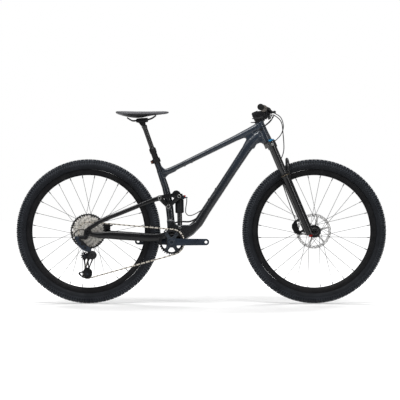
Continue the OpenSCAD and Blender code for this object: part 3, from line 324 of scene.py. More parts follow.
def plain_finish(name, dark, light, scale, rough, metallic=0.0, grain=None, **values):
    """A painted, anodised or moulded finish: clouded colour, uneven gloss and, if given, a fine grain."""
    f = Finish(name)
    f.colour(f.clouds(f.noise(scale), dark, light))
    f.roughness(f.noise(scale * 2.7, detail=6.0), *rough)
    if grain:
        strength, depth, fineness = grain
        f.bump(f.noise(fineness, detail=3.0), strength, depth)
    f.set(Metallic=metallic, **values)
    return f.material


def frame_finish():
    """Lacquered carbon: slate blue at the front, black towards the pivots, with a painted highlight on its
    sharp edges and a faint weave.
    """
    f = Finish("frame_lacquer")
    high = f.math("MULTIPLY", f.math("SUBTRACT", f.part("Z"), SLATE_FROM_Z), SLATE_RISE)
    marble = f.math("MULTIPLY", f.noise(9.0, detail=7.0, rough=0.62), 0.6)
    tone = f.ramp(f.math("ADD", high, marble), SLATE_TONES)
    # Painted highlight: sharp edges, found by pointiness, are lightened towards a pale blue-grey
    edge = f.add("ShaderNodeNewGeometry").outputs["Pointiness"]
    edge_highlight = f.math("MULTIPLY", f.mask(edge, start=0.51, end=0.58), 0.5)
    tone = f.mix(edge_highlight, tone, SLATE_EDGE_HIGHLIGHT)
    over = f.bands(WEAVE_SCALE, turn=(0.0, 0.6, 0.0))
    under = f.bands(WEAVE_SCALE, turn=(0.0, -0.9, 0.0))
    weave = f.math("MULTIPLY", f.math("MULTIPLY", over, under), 0.15)
    f.colour(f.mix(weave, tone, WEAVE_TONE))
    f.roughness(f.noise(30.0, detail=6.0), low=0.24, high=0.34)
    f.set(Coat_Weight=0.7, Coat_Roughness=0.18, Specular_IOR_Level=0.35)
    return f.material


def tyre_finish(name, dark, light):
    """Charcoal rubber with a dusty bloom and a fine grain."""
    f = Finish(name)
    f.colour(f.clouds(f.noise(14.0, detail=8.0, rough=0.65), dark, light))
    f.roughness(f.noise(60.0, detail=5.0), low=0.5, high=0.75)
    f.bump(f.noise(900.0, detail=4.0), strength=0.2, distance=0.0005)
    f.set(Specular_IOR_Level=0.16)
    return f.material


def steel_finish(name, dark, light, rough, scale=90.0):
    """Machined metal with fine turning marks."""
    f = Finish(name)
    marks = f.noise(scale, detail=6.0, rough=0.6, stretch=(1.0, 6.0, 1.0))
    f.colour(f.ramp(marks, [(0.25, dark), (0.75, light)]))
    f.roughness(f.noise(scale * 3.0, detail=4.0), *rough)
    f.bump(marks, strength=0.06, distance=0.0003)
    f.set(Metallic=1.0)
    return f.material


def crank_finish():
    """Satin slate paint on the outside of the crank arms, black further in."""
    f = Finish("crank_slate")
    paint = f.clouds(f.noise(30.0), (0.012, 0.018, 0.029), (0.021, 0.031, 0.048))
    inward = f.math("LESS_THAN", f.math("ABSOLUTE", f.part("Y")), CRANK_INNER_Y)
    f.colour(f.mix(inward, paint, CRANK_INNER))
    f.roughness(f.noise(80.0, detail=6.0), low=0.26, high=0.4)
    f.bump(f.noise(900.0, detail=3.0), strength=0.01, distance=0.0003)
    f.set(Specular_IOR_Level=0.3)
    return f.material


def cog_finish():
    """Nickel plated cogs with swept arms, painted shade in the windows between them, painted glints, and a
    black largest one.
    """
    f = Finish("cog_steel")
    marks = f.noise(170.0, detail=6.0, rough=0.6, stretch=(1.0, 5.0, 1.0))
    plate = f.clouds(marks, (0.6, 0.575, 0.53), (0.95, 0.92, 0.87))
    row = f.math("MULTIPLY", f.math("SUBTRACT", f.part("Y"), SMALLEST_COG_Y), 1.0 / COG_STEP)
    along = f.math("SUBTRACT", f.part("X"), REAR_AXLE.x)
    up = f.math("SUBTRACT", f.part("Z"), REAR_AXLE.z)
    reach = f.math("SQRT", f.math("ADD", f.math("MULTIPLY", along, along), f.math("MULTIPLY", up, up)))
    turn = f.math("MULTIPLY", f.math("ARCTAN2", up, along), ARM_COUNT)
    turn = f.math("ADD", turn, f.math("MULTIPLY", reach, ARM_SWEEP))
    turn = f.math("ADD", turn, f.math("MULTIPLY", f.math("FLOOR", row), COG_TURN))
    # Painted shade: dark swept bands where the windows between the arms are
    window_shade = f.mask(f.math("SINE", turn), start=0.15, end=0.5)
    plate = f.mix(f.math("MULTIPLY", window_shade, 0.6), plate, PAINTED_WINDOW_SHADE)
    # Painted highlight: small pale glints scattered over the plating
    glints = f.mask(f.noise(240.0, detail=3.0), start=0.6, end=0.68)
    plate = f.mix(f.math("MULTIPLY", glints, 0.6), plate, COG_GLINT)
    largest = f.math("GREATER_THAN", f.part("Y"), LARGEST_COG_Y)
    f.colour(f.mix(largest, plate, COG_BLACK))
    f.roughness(f.noise(300.0, detail=4.0), low=0.3, high=0.44)
    f.link(f.spread(f.math("SUBTRACT", 1.0, largest), 0.0, 0.15), f.shader.inputs["Metallic"])
    return f.material


def rim_finish():
    """Black carbon rim with faint grey streaks of painted reflection round its wall."""
    f = Finish("rim_carbon")
    # Painted reflection: pale grey patches over the black, placed by noise
    f.colour(f.ramp(f.noise(22.0, detail=7.0, rough=0.7), RIM_TONES_AND_SHEEN))
    f.roughness(f.noise(70.0), low=0.45, high=0.6)
    f.bump(f.noise(500.0, detail=3.0), strength=0.01, distance=0.0003)
    f.set(Specular_IOR_Level=0.14)
    return f.material


def grip_finish():
    """Ribbed grey-brown grips with darker ends."""
    f = Finish("grip_rubber")
    ribs = f.bands(78.0, "Y")
    body = f.clouds(f.noise(60.0), (0.11, 0.097, 0.087), (0.18, 0.162, 0.146))
    outer = f.math("GREATER_THAN", f.math("ABSOLUTE", f.part("Y")), GRIP_END_Y)
    f.colour(f.mix(outer, body, GRIP_END))
    f.roughness(f.noise(90.0), low=0.6, high=0.8)
    f.bump(ribs, strength=0.25, distance=0.0008)
    f.set(Specular_IOR_Level=0.2)
    return f.material


def leather_finish():
    """Satin saddle skin, paler where the pad is worn, with a faint pebbled grain."""
    f = Finish("saddle_skin")
    cells = f.add("ShaderNodeTexVoronoi", feature="DISTANCE_TO_EDGE")
    cells.inputs["Scale"].default_value = GRAIN_CELLS
    f.link(f.place, cells.inputs["Vector"])
    grain = f.math("MINIMUM", cells.outputs["Distance"], 0.18)
    worn = f.clouds(f.noise(14.0, detail=4.0), (0.06, 0.06, 0.067), (0.09, 0.09, 0.1))
    f.colour(f.mix(f.math("MULTIPLY", grain, 1.2), worn, GRAIN_TONE))
    f.roughness(f.noise(26.0, detail=3.0), low=0.42, high=0.52)
    f.set(Specular_IOR_Level=0.5, Sheen_Weight=0.15)
    return f.material


# Plain finishes: dark tone, light tone, scale of the clouds, gloss, then what is special to each
finishes = {
    "lacquer": frame_finish(),
    "black_gloss": plain_finish(
        "black_gloss", (0.004, 0.004, 0.005), (0.008, 0.008, 0.009), 16.0, (0.2, 0.3),
        Coat_Weight=0.4, Coat_Roughness=0.06, Specular_IOR_Level=0.25),
    "alloy": plain_finish(
        "black_anodised", (0.007, 0.007, 0.008), (0.014, 0.014, 0.016), 40.0, (0.32, 0.46),
        grain=(0.012, 0.0003, 1200.0), Specular_IOR_Level=0.2),
    "stanchion": plain_finish(
        "stanchion_coat", (0.006, 0.006, 0.007), (0.011, 0.011, 0.012), 12.0, (0.1, 0.16),
        Coat_Weight=0.6, Coat_Roughness=0.06, Specular_IOR_Level=0.4),
    "slate": crank_finish(),
    "link": plain_finish(
        "link_navy", (0.008, 0.013, 0.022), (0.017, 0.026, 0.042), 40.0, (0.28, 0.4),
        Specular_IOR_Level=0.3),
    "silver": steel_finish("machined_silver", (0.5, 0.5, 0.49), (0.72, 0.72, 0.7), (0.25, 0.4)),
    "pivot": steel_finish("pivot_silver", (0.3, 0.3, 0.295), (0.46, 0.46, 0.45), (0.3, 0.42)),
    "disc": plain_finish(
        "disc_steel", (0.58, 0.575, 0.57), (0.78, 0.775, 0.765), 130.0, (0.34, 0.46), metallic=0.1),
    "cog": cog_finish(),
    "chain": plain_finish(
        "chain_steel", (0.5, 0.46, 0.4), (0.68, 0.63, 0.55), 200.0, (0.3, 0.42), metallic=0.35),
    "chain_dark": steel_finish(
        "chain_inner_steel", (0.05, 0.047, 0.043), (0.11, 0.1, 0.09), (0.35, 0.5), 200.0),
    "spoke": plain_finish(
        "spoke_steel", (0.012, 0.012, 0.013), (0.022, 0.022, 0.024), 60.0, (0.35, 0.5),
        Specular_IOR_Level=0.25),
    "tyre": tyre_finish("tyre_rubber", (0.008, 0.009, 0.0115), (0.015, 0.017, 0.021)),
    "tread": tyre_finish("tread_rubber", (0.026, 0.03, 0.037), (0.048, 0.053, 0.063)),
    "rim": rim_finish(),
    "rubber": grip_finish(),
    "plastic": plain_finish(
        "moulded_plastic", (0.012, 0.012, 0.013), (0.024, 0.024, 0.026), 50.0, (0.45, 0.6),
        grain=(0.02, 0.0004, 1500.0), Specular_IOR_Level=0.2),
    "cable": plain_finish(
        "cable_jacket", (0.006, 0.006, 0.007), (0.012, 0.012, 0.013), 80.0, (0.5, 0.62),
        Specular_IOR_Level=0.12),
    "leather": leather_finish(),
    "red": plain_finish(
        "red_anodised", (0.26, 0.008, 0.007), (0.4, 0.018, 0.014), 90.0, (0.25, 0.4), metallic=0.7),
    "blue": plain_finish(
        "blue_anodised", (0.015, 0.22, 0.48), (0.03, 0.32, 0.62), 90.0, (0.25, 0.4), metallic=0.4),
    "brass": plain_finish(
        "brass_band", (0.14, 0.1, 0.055), (0.22, 0.16, 0.09), 120.0, (0.3, 0.4), metallic=0.5),
    "rubber_black": tyre_finish("seal_rubber", (0.008, 0.008, 0.009), (0.016, 0.016, 0.017)),
    "spider": plain_finish(
        "spider_slate", (0.03, 0.037, 0.047), (0.05, 0.06, 0.074), 60.0, (0.3, 0.42),
        Specular_IOR_Level=0.3),
    "copper": plain_finish(
        "copper_bolt", (0.2, 0.06, 0.025), (0.32, 0.1, 0.04), 120.0, (0.28, 0.4), metallic=0.6),
}

NODE_FINISHES = {
    "lacquer": ["front_frame"],
    "black_gloss": ["rear_triangle", "fork_lowers", "rocker_link"],
    "alloy": ["frame_inserts", "seat_clamp", "seatpost_lower", "rear_axle", "derailleur_knuckles",
              "rear_caliper", "rear_hub", "front_hub", "freehub", "chainring", "derailleur_cage",
              "shock_body", "saddle_clamp", "saddle_rails", "stem", "handlebar", "bar_controls",
              "brake_blade_right", "brake_blade_left", "front_caliper", "front_axle", "pivot_axles",
              "rear_pivot_bolts"],
    "stanchion": ["fork_crown", "shock_shaft", "seatpost_upper"],
    "slate": ["crank_right", "crank_left"],
    "link": ["derailleur_link", "shock_lever"],
    "disc": ["rear_rotor", "front_rotor"],
    "cog": ["cassette_cogs"],
    "chain": ["chain"],
    "spoke": ["rear_spokes", "front_spokes"],
    "tyre": ["rear_tyre", "front_tyre"],
    "rim": ["rear_rim", "front_rim"],
    "rubber": ["grips"],
    "plastic": ["guide_pulley", "tension_pulley", "shift_lever", "dropper_lever", "saddle_base"],
    "cable": ["rear_hoses", "shift_loop", "shock_cable", "lockout_cable", "frame_cables",
              "front_brake_hose"],
    "leather": ["saddle_cover"],
    "red": ["shock_knob", "rebound_knob"],
    "blue": ["fork_lockout"],
}
for finish, members in NODE_FINISHES.items():
    for member in members:
        dress(nodes[member], finishes[finish])

# Pieces with joined faces, by how far their edges are eased
EASED = {
    0.0012: ["crank_right", "crank_left", "rocker_link", "stem", "front_caliper", "rear_caliper",
             "seat_clamp"],
    0.0005: ["derailleur_knuckles", "shock_body", "saddle_clamp", "shock_knob", "rebound_knob",
             "fork_lockout", "shock_lever", "grips", "bar_controls", "seatpost_lower", "pivot_axles",
             "rear_pivot_bolts"],
    0.0: ["frame_inserts", "rear_axle", "rear_hub", "front_hub", "freehub", "chainring", "derailleur_cage",
          "front_axle", "fork_crown", "shock_shaft", "seatpost_upper", "rear_rotor", "front_rotor",
          "cassette_cogs", "rear_spokes", "front_spokes", "rear_tyre", "front_tyre", "rear_rim",
          "front_rim", "guide_pulley", "tension_pulley"],
}
for width, members in EASED.items():
    for member in members:
        round_off(member, width)

# Smooth shells over the moulded and forged pieces: node, piece, grid, rounds, body, slot and finish
RIGHT_BLADE = "brake_blade_right"
LEFT_BLADE = "brake_blade_left"
SHELLS = (
    ("front_frame", "main_frame_shell", 0.0026, 18, "frame", "frame_gloss", "lacquer"),
    ("rear_triangle", "rear_stays_shell", 0.0021, 10, "rear_triangle", "black_gloss", "black_gloss"),
    ("fork_lowers", "fork_leg_shell", 0.0022, 4, "fork_lowers", "black_gloss", "black_gloss"),
    ("handlebar", "bar_shell", 0.0016, 8, "steering", "black_alloy", "alloy"),
    ("derailleur_link", "shift_link_shell", 0.001, 6, "rear_triangle", "link_grey", "alloy"),
    ("saddle_rails", "rail_shell", 0.001, 6, "saddle", "black_alloy", "alloy"),
    (RIGHT_BLADE, "brake_blade_right_shell", 0.0007, 5, RIGHT_BLADE, "black_alloy", "alloy"),
    (LEFT_BLADE, "brake_blade_left_shell", 0.0007, 5, LEFT_BLADE, "black_alloy", "alloy"),
    ("shift_lever", "shift_paddle_shell", 0.0006, 5, "shift_lever", "plastic", "plastic"),
    ("dropper_lever", "dropper_paddle_shell", 0.0006, 5, "dropper_lever", "plastic", "plastic"),
    ("saddle_cover", "saddle_pad", 0.0022, 10, "saddle", "saddle_skin", "leather"),
    ("saddle_base", "saddle_shell", 0.0018, 4, "saddle", "plastic", "plastic"),
)
shells = {shell[1]: smooth_shell(*shell) for shell in SHELLS}


# Tyres: a moulded casing with ramped tread blocks
BELLY_R = 0.336
BELLY_H = 0.027
HALF_W = 0.0285
CASING_IN = 0.0007
INSIDE_H = 0.023
INSIDE_W = 0.0245
RIM_EDGE = 0.3169
BEAD_Y = 0.0135
MOULD_RIB = 0.0006
MOULD_LINES = (-12, -6, 4, 16)
BLOCK_EDGE = 0.0005
CASING_STEPS = 180
# Each row's angle up the casing, lift, height, width, length, count, shift, stagger, taper and lean
TREAD_ROWS = (
    (79.0, 0.0022, 0.0072, 0.0082, 0.0098, 112, 0.5, 0.25, 0.86, 0.0008),
    (62.0, 0.0016, 0.0062, 0.0072, 0.0085, 112, 1.0, 0.25, 0.84, 0.0008),
    (45.0, 0.0016, 0.0064, 0.0085, 0.0082, 176, 0.0, 0.0, 0.82, 0.0),
    (24.0, 0.0002, 0.0022, 0.0125, 0.0062, 176, 0.0, 0.0, 0.8, 0.0),
    (7.0, -0.0002, 0.0016, 0.0062, 0.0042, 176, 0.5, 0.0, 0.7, 0.0),
)


def lathe(name, profile, steps):
    """A profile of radius and width turned once round the Y axis."""
    mesh = bpy.data.meshes.new(name)
    count = len(profile)
    mesh.from_pydata([(r, y, 0.0) for r, y in profile], [(i, (i + 1) % count) for i in range(count)], [])
    piece = added(name, mesh)
    turn = piece.modifiers.new("turn", "SCREW")
    turn.axis = "Y"
    turn.steps = steps
    turn.render_steps = steps
    turn.use_merge_vertices = True
    turn.merge_threshold = JOIN_GAP
    apply_all(piece)
    bpy.ops.object.mode_set(mode="EDIT")
    bpy.ops.mesh.select_all(action="SELECT")
    bpy.ops.mesh.normals_make_consistent(inside=False)
    bpy.ops.object.mode_set(mode="OBJECT")
    bpy.ops.object.shade_smooth_by_angle(angle=TURNED_CREASE)
    return piece


def casing_profile():
    """The casing from bead to bead with its mould lines, and the inside back again."""
    outside = []
    for k in range(-20, 111):
        angle = math.radians(k * 2.0)
        rib = MOULD_RIB if k in MOULD_LINES or 90 - k in MOULD_LINES else 0.0
        outside.append((BELLY_R + (BELLY_H + rib) * math.sin(angle),
                        (HALF_W - CASING_IN + rib) * math.cos(angle)))
    inside = [(BELLY_R + INSIDE_H * math.sin(math.radians(a)), INSIDE_W * math.cos(math.radians(a)))
              for a in range(220, -41, -10)]
    return [(RIM_EDGE, BEAD_Y)] + outside + [(RIM_EDGE, -BEAD_Y)] + inside


def around(piece, count, shift):
    """Repeats a block round the axle at the origin."""
    deselect()
    bpy.ops.object.empty_add(location=(0.0, 0.0, 0.0), rotation=(0.0, math.tau / count, 0.0))
    step = bpy.context.object
    settle(piece)
    ring = piece.modifiers.new("ring", "ARRAY")
    ring.count = count
    ring.use_relative_offset = False
    ring.use_object_offset = True
    ring.offset_object = step
    apply_all(piece)
    bpy.data.objects.remove(step)
    piece.rotation_euler = (0.0, math.tau / count * shift, 0.0)
    settle(piece)
    return piece


def tread_blocks(side, angle, lift, tall, wide, long, count, shift, stagger, taper, lean):
    """One row of blocks that stand on the casing at an angle up from its side."""
    deselect()
    bpy.ops.mesh.primitive_cube_add(size=1.0, location=(0.0, 0.0, 0.0))
    block = bpy.context.object
    bpy.ops.object.mode_set(mode="EDIT")
    bpy.ops.mesh.select_all(action="SELECT")
    bpy.ops.transform.resize(value=(tall, wide, long))
    bpy.ops.object.mode_set(mode="OBJECT")
    for corner in block.data.vertices:
        if corner.co.x > 0.0:
            corner.co.y *= taper
            corner.co.z = corner.co.z * taper + lean
    soften = block.modifiers.new("soften", "BEVEL")
    soften.width = BLOCK_EDGE
    soften.segments = 1
    apply_all(block)
    a = math.radians(angle)
    out = Vector((HALF_W * math.sin(a), BELLY_H * math.cos(a), 0.0)).normalized()
    place = Vector((BELLY_R + BELLY_H * math.sin(a), HALF_W * math.cos(a), 0.0)) + out * lift
    if side < 0:
        out.y = -out.y
        place.y = -place.y
    block.rotation_euler = (0.0, 0.0, math.atan2(out.y, out.x))
    block.location = place
    return around(block, count, shift - stagger * side)


def tyre_piece(name, body, node, axle):
    """A tyre with every row of its tread, on its axle."""
    casing = lathe(name, casing_profile(), CASING_STEPS)
    dress(casing, finishes["tyre"])
    blocks = [tread_blocks(side, *row) for side in (1, -1) for row in TREAD_ROWS]
    for block in blocks:
        dress(block, finishes["tread"])
    deselect()
    for piece in blocks + [casing]:
        piece.select_set(True)
    bpy.context.view_layer.objects.active = casing
    bpy.ops.object.join()
    casing.location = axle
    settle(casing)
    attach(casing, body)
    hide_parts(node)


tyre_piece("rear_tyre_tread", "rear_wheel", "rear_tyre", REAR_AXLE)
tyre_piece("front_tyre_tread", "front_wheel", "front_tyre", FRONT_AXLE)


# Cables and hoses, each one smooth run between its two ends, with points in millimetres
HOSE_R = 0.0024
CABLE_R = 0.0022
LOOP_R = 0.0023
RUN_STEPS = 8


def smooth_run(points):
    """A smooth line through points given in millimetres, as points in metres."""
    line = []
    last = len(points) - 1
    for i in range(last):
        near = [Vector(points[min(max(k, 0), last)]) for k in (i - 1, i, i + 1, i + 2)]
        line += [between(*near, j / RUN_STEPS) / 1000.0 for j in range(RUN_STEPS)]
    line.append(Vector(points[-1]) / 1000.0)
    return line


def hose(name, line, radius, node):
    """A jacketed cable along a line, as a mesh tube with closed ends."""
    deselect()
    curve = bpy.data.curves.new(name, "CURVE")
    curve.dimensions = "3D"
    curve.bevel_depth = radius
    curve.bevel_resolution = 4
    curve.use_fill_caps = True
    spline = curve.splines.new("POLY")
    spline.points.add(len(line) - 1)
    for point, place in zip(spline.points, line):
        point.co = (*place, 1.0)
    added(name, curve)
    bpy.ops.object.convert(target="MESH")
    piece = bpy.context.object
    bpy.ops.object.shade_smooth()
    dress(piece, finishes["cable"])
    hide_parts(node)
    return piece


def bending_hose(name, line, radius, node):
    """A hose along its whole line, with its place baked into its mesh and tied to no body."""
    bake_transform(hose(name, line, radius, node))


left_brake = smooth_run([
    (332.5, 119, 971.4), (358, 84, 968), (366, 54, 952), (352, 36, 930), (325, 31, 908), (306, 27, 893)])
bending_hose("rear_brake_hose", left_brake, HOSE_R, "frame_cables")
shift_run = smooth_run([
    (338, -198, 952), (356, -150, 956), (368, -90, 958), (362, -54, 946), (344, -36, 926), (321, -31, 906),
    (302, -27, 891)])
bending_hose("shift_cable", shift_run, HOSE_R, "frame_cables")
lock_run = smooth_run([
    (332.5, -119, 971.4), (352, -107, 970), (374, -95, 966), (404, -84, 944), (416, -76, 900),
    (404, -70, 862), (384, -67, 838), (372, -67, 829)])
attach(hose("fork_lock_cable", lock_run, CABLE_R, "lockout_cable"), "steering")
brake_points = [
    (51.8, 119, 632.4), (69.6, 104, 624.4), (94.5, 84, 606.3), (108.8, 52, 563.3), (92, 30, 503.1),
    (70, 24, 441), (54, 34, 412), (30, 43, 384), (8, 40, 345), (-6, 38, 300), (-14, 38, 210),
    (-19, 39, 130), (-21.5, 40, 74.6)]
brake_run = smooth_run([in_steering(*point) * 1000.0 for point in brake_points])
bending_hose("front_brake_line", brake_run, HOSE_R, "front_brake_hose")
for side, end in SIDES:
    lift = 0.0 if side > 0.0 else 4.0
    stay_run = smooth_run([
        (-20 + lift * 0.75, side * 9, 440 + lift), (-36 + lift * 0.5, side * 13, 427 + lift),
        (-62, side * 19, 416 + lift), (-96, side * 23, 416 + lift), (-122, side * 30, 414 + lift),
        (-146, side * 38, 404 + lift), (-170, side * 41, 386 + lift * 0.75), (-192, side * 41.5, 365.4)])
    bending_hose(f"rear_hose_{end}", stay_run, HOSE_R, "rear_hoses")
loop_run = smooth_run([
    (-590, -88.6, 377), (-605, -90.5, 379), (-624, -92, 376), (-638, -93, 366), (-643, -93, 354),
    (-640, -93, 345)])
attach(hose("shift_loop_cable", loop_run, LOOP_R, "shift_loop"), "rear_triangle")
lock_line = smooth_run([
    (-75, -19, 535), (-75, -19, 518), (-79, -17, 493), (-80, -12, 466), (-68, -6, 451), (-48, -2, 451),
    (-24, 0, 462), (-2, 0, 475)])
meet = 28
upper = lock_line[:meet + 1]
lower = lock_line[meet:]
bending_hose("shock_lock_cable_upper", upper, CABLE_R, "shock_cable")
bending_hose("shock_lock_cable_lower", lower, CABLE_R, "shock_cable")


# Chain, in stretches that follow the ring, the cassette and the cage
CAGE_FRONT_X = -0.54
CAGE_TOP_Z = 0.318
LOWER_FRONT_X = -0.36
LOWER_TOP_Z = 0.3
OUTER_LINK_DEPTH = 0.0046


def link_islands(mesh):
    """The vertices of each separate link."""
    root = list(range(len(mesh.vertices)))

    def find(k):
        while root[k] != k:
            root[k] = root[root[k]]
            k = root[k]
        return k

    for edge in mesh.edges:
        a, b = (find(k) for k in edge.vertices)
        root[b] = a
    islands = {}
    for k in range(len(root)):
        islands.setdefault(find(k), []).append(k)
    return list(islands.values())


def chain_stretch(name, belongs):
    """The links whose centres belong to one stretch, with darker inner links."""
    piece = merged_copy("chain", name)
    dress(piece, finishes["chain"])
    piece.data.materials.append(finishes["chain_dark"])
    drop = [False] * len(piece.data.vertices)
    wide = [False] * len(piece.data.vertices)
    for island in link_islands(piece.data):
        places = [piece.data.vertices[k].co for k in island]
        centre = sum(places, Vector()) / len(places)
        depth = max(p.y for p in places) - min(p.y for p in places)
        for k in island:
            drop[k] = not belongs(centre)
            wide[k] = depth > OUTER_LINK_DEPTH
    for face in piece.data.polygons:
        face.material_index = 0 if wide[face.vertices[0]] else 1
    pick(piece)
    bpy.ops.object.mode_set(mode="EDIT")
    bpy.ops.mesh.select_mode(type="VERT")
    bpy.ops.mesh.select_all(action="DESELECT")
    bpy.ops.object.mode_set(mode="OBJECT")
    piece.data.vertices.foreach_set("select", drop)
    bpy.ops.object.mode_set(mode="EDIT")
    bpy.ops.mesh.delete(type="VERT")
    bpy.ops.object.mode_set(mode="OBJECT")
    bpy.ops.object.shade_smooth_by_angle(angle=CREASE_ANGLE)
    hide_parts("chain")
    return piece


def by_cage(p):
    return p.x < CAGE_FRONT_X and p.z < CAGE_TOP_Z


def lower_rear(p):
    return CAGE_FRONT_X <= p.x < LOWER_FRONT_X and p.z < LOWER_TOP_Z


def round_ring(p):
    return not by_cage(p) and not lower_rear(p)


# Each stretch's two bodies, and the places between which it leaves the one for the other
CHAIN_STRETCHES = (
    ("chain_ring_run", round_ring, "frame", "rear_triangle", (-0.235, 0.0, 0.3), (-0.345, 0.0, 0.3)),
    ("chain_lower_run", lower_rear, "rear_triangle", "cage", (-0.37, 0.0, 0.2), (-0.53, 0.0, 0.2)),
    ("chain_cage_run", by_cage, "cage", "rear_triangle", (-0.58, 0.0, 0.262), (-0.58, 0.0, 0.314)),
)
for name, belongs, near, far, start, end in CHAIN_STRETCHES:
    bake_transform(chain_stretch(name, belongs))


# Trim: plates, covers, bolts and rings, in millimetres
BB = (-151.6, 315.4)
CASSETTE = (REAR_AXLE.x * 1000.0, REAR_AXLE.z * 1000.0)
CAGE_PIVOT = (-556.0, 252.0)
GUIDE_PULLEY = (-592.518, 245.721)
TENSION_PULLEY = (-579.51, 151.594)
KNUCKLE = (-553.5, 249.0)
SEAT_CLAMP = (-253.6, 722.3)


def about(centre, r, angle):
    """A point in the side plane, by its reach and its angle in degrees."""
    turn = math.radians(angle)
    return (centre[0] + r * math.cos(turn), centre[1] + r * math.sin(turn))


def ring_loop(x, z, r, count):
    turns = [math.tau * k / count for k in range(count)]
    return [(x + r * math.cos(turn), z + r * math.sin(turn)) for turn in turns]


def rounded(loop, steps=4):
    """A closed loop through its corners, without kinks."""
    soft = []
    for i in range(len(loop)):
        near = [Vector(loop[(i + k) % len(loop)]) for k in (-1, 0, 1, 2)]
        soft += [tuple(between(*near, j / steps)) for j in range(steps)]
    return soft


def close_up(piece):
    """Joins a piece's doubles and turns its faces outwards."""
    pick(piece)
    bpy.ops.object.mode_set(mode="EDIT")
    bpy.ops.mesh.select_all(action="SELECT")
    bpy.ops.mesh.remove_doubles(threshold=PLATE_JOIN_GAP)
    bpy.ops.mesh.normals_make_consistent(inside=False)
    bpy.ops.object.mode_set(mode="OBJECT")
    bpy.ops.object.shade_smooth_by_angle(angle=TURNED_CREASE)


def side_plate(name, loops, y, thick, soft, slope=0.0, origin=0.0):
    """A plate in the side plane: cut to the first loop, pierced by the others and set at a slope."""
    deselect()
    curve = bpy.data.curves.new(name, "CURVE")
    curve.dimensions = "2D"
    curve.fill_mode = "BOTH"
    curve.extrude = (thick / 2.0 - soft) / 1000.0
    curve.bevel_depth = soft / 1000.0
    curve.bevel_resolution = 2
    curve.offset = -soft / 1000.0
    for loop in loops:
        spline = curve.splines.new("POLY")
        spline.points.add(len(loop) - 1)
        spline.use_cyclic_u = True
        for point, (x, z) in zip(spline.points, loop):
            point.co = (x / 1000.0, z / 1000.0, 0.0, 1.0)
    added(name, curve)
    bpy.ops.object.convert(target="MESH")
    piece = bpy.context.object
    piece.rotation_euler = (math.pi / 2.0, 0.0, 0.0)
    piece.location = (0.0, y / 1000.0, 0.0)
    settle(piece)
    for corner in piece.data.vertices:
        corner.co.y += slope * (corner.co.x - origin / 1000.0)
    close_up(piece)
    return piece


def turned(name, profile, place, steps=40):
    """A piece turned about a sideways axis, its profile given as radius and width."""
    piece = lathe(name, [(r / 1000.0, y / 1000.0) for r, y in profile], steps)
    piece.location = (place[0] / 1000.0, 0.0, place[1] / 1000.0)
    settle(piece)
    return piece


def on_side(profile, side):
    """A profile for the left side, or its mirror image for the right."""
    return [(r, side * y) for r, y in profile]


# Pivot bolts: a bright ring round each dark head, by place, half width, radius and body
PIVOTS = (
    ("main_pivot", (-108.0, 356.0), 47.5, 11.3, "frame"),
    ("rocker_pivot", (-168.0, 495.0), 38.4, 11.3, "frame"),
    ("rocker_rear", (-213.0, 539.0), 47.6, 10.3, "rear_triangle"),
    ("shock_top", (-113.0, 548.0), 38.6, 10.3, "shock_body"),
    ("shock_low", (-110.0, 388.0), 33.4, 8.2, "frame"),
)
PIVOT_RING = ((0.6, -0.3), (0.62, 0.5), (0.8, 0.7), (0.88, 0.2), (0.88, -0.3))
for pivot, place, y, r, body in PIVOTS:
    ring = [(r * share, y + out) for share, out in PIVOT_RING]
    for side, end in SIDES:
        fit(turned(f"{pivot}_ring_{end}", on_side(ring, side), place), "pivot", body)

# Crank: boss, cap, spider, ring plate and ring bolts
SPIDER_ANGLES = (58.0, 122.0, 238.0, 302.0)
SPIDER_ARM = ((25.0, -26.0), (38.0, -11.5), (50.0, -10.5), (55.0, 0.0), (50.0, 10.5), (38.0, 11.5),
              (25.0, 26.0))
RING_PLATE_R = 58.6
RING_BOLT_R = 47.0
WINDOWS = ((0.0, 40.0), (90.0, 20.0), (180.0, 40.0), (270.0, 20.0))
boss = [(10.2, -74.0), (10.2, -75.6), (19.0, -75.6), (21.0, -74.2), (21.5, -71.0), (21.5, -63.0),
        (18.0, -62.0)]
cap = [(8.2, -74.6), (8.6, -76.2), (9.4, -76.6), (12.6, -76.6), (13.4, -76.1), (13.6, -75.0), (13.6, -74.4)]
ring_bolt = [(0.0, -61.4), (2.2, -61.4), (2.6, -63.0), (4.4, -63.0), (5.0, -62.3), (5.0, -61.4),
             (3.6, -60.0), (0.0, -60.0)]
fit(turned("crank_boss", boss, BB), "slate", "crankset")
fit(turned("crank_cap", cap, BB), "spider", "crankset")
star = [about(BB, r, angle + swing) for angle in SPIDER_ANGLES for r, swing in SPIDER_ARM]
spider = side_plate("crank_spider", [rounded(star, steps=3)], y=-60.4, thick=3.4, soft=0.8)
fit(spider, "spider", "crankset")
plate_loops = [ring_loop(*BB, RING_PLATE_R, count=96)]
for angle, half in WINDOWS:
    window = [(49.0, -half), (50.5, -half / 2.0), (51.0, 0.0), (50.5, half / 2.0), (49.0, half),
              (40.0, half + 4.0), (31.0, half * 0.8), (28.0, 0.0), (31.0, -half * 0.8), (40.0, -half - 4.0)]
    plate_loops.append(rounded([about(BB, r, angle + swing) for r, swing in window], steps=3))
ring_plate = side_plate("ring_plate", plate_loops, y=-56.4, thick=3.2, soft=0.6)
fit(ring_plate, "alloy", "crankset")
for k, angle in enumerate(SPIDER_ANGLES):
    place = about(BB, RING_BOLT_R, angle)
    fit(turned(f"ring_bolt_{k + 1}", ring_bolt, place, steps=24), "alloy", "crankset")

# Cassette: the solid rim of its black largest cog
cog_rim = [(84.2, -27.7), (89.2, -27.7), (89.7, -27.3), (89.7, -26.2), (89.2, -25.85), (84.2, -25.85)]
fit(turned("largest_cog_rim", cog_rim, CASSETTE, steps=90), "alloy", "cassette")

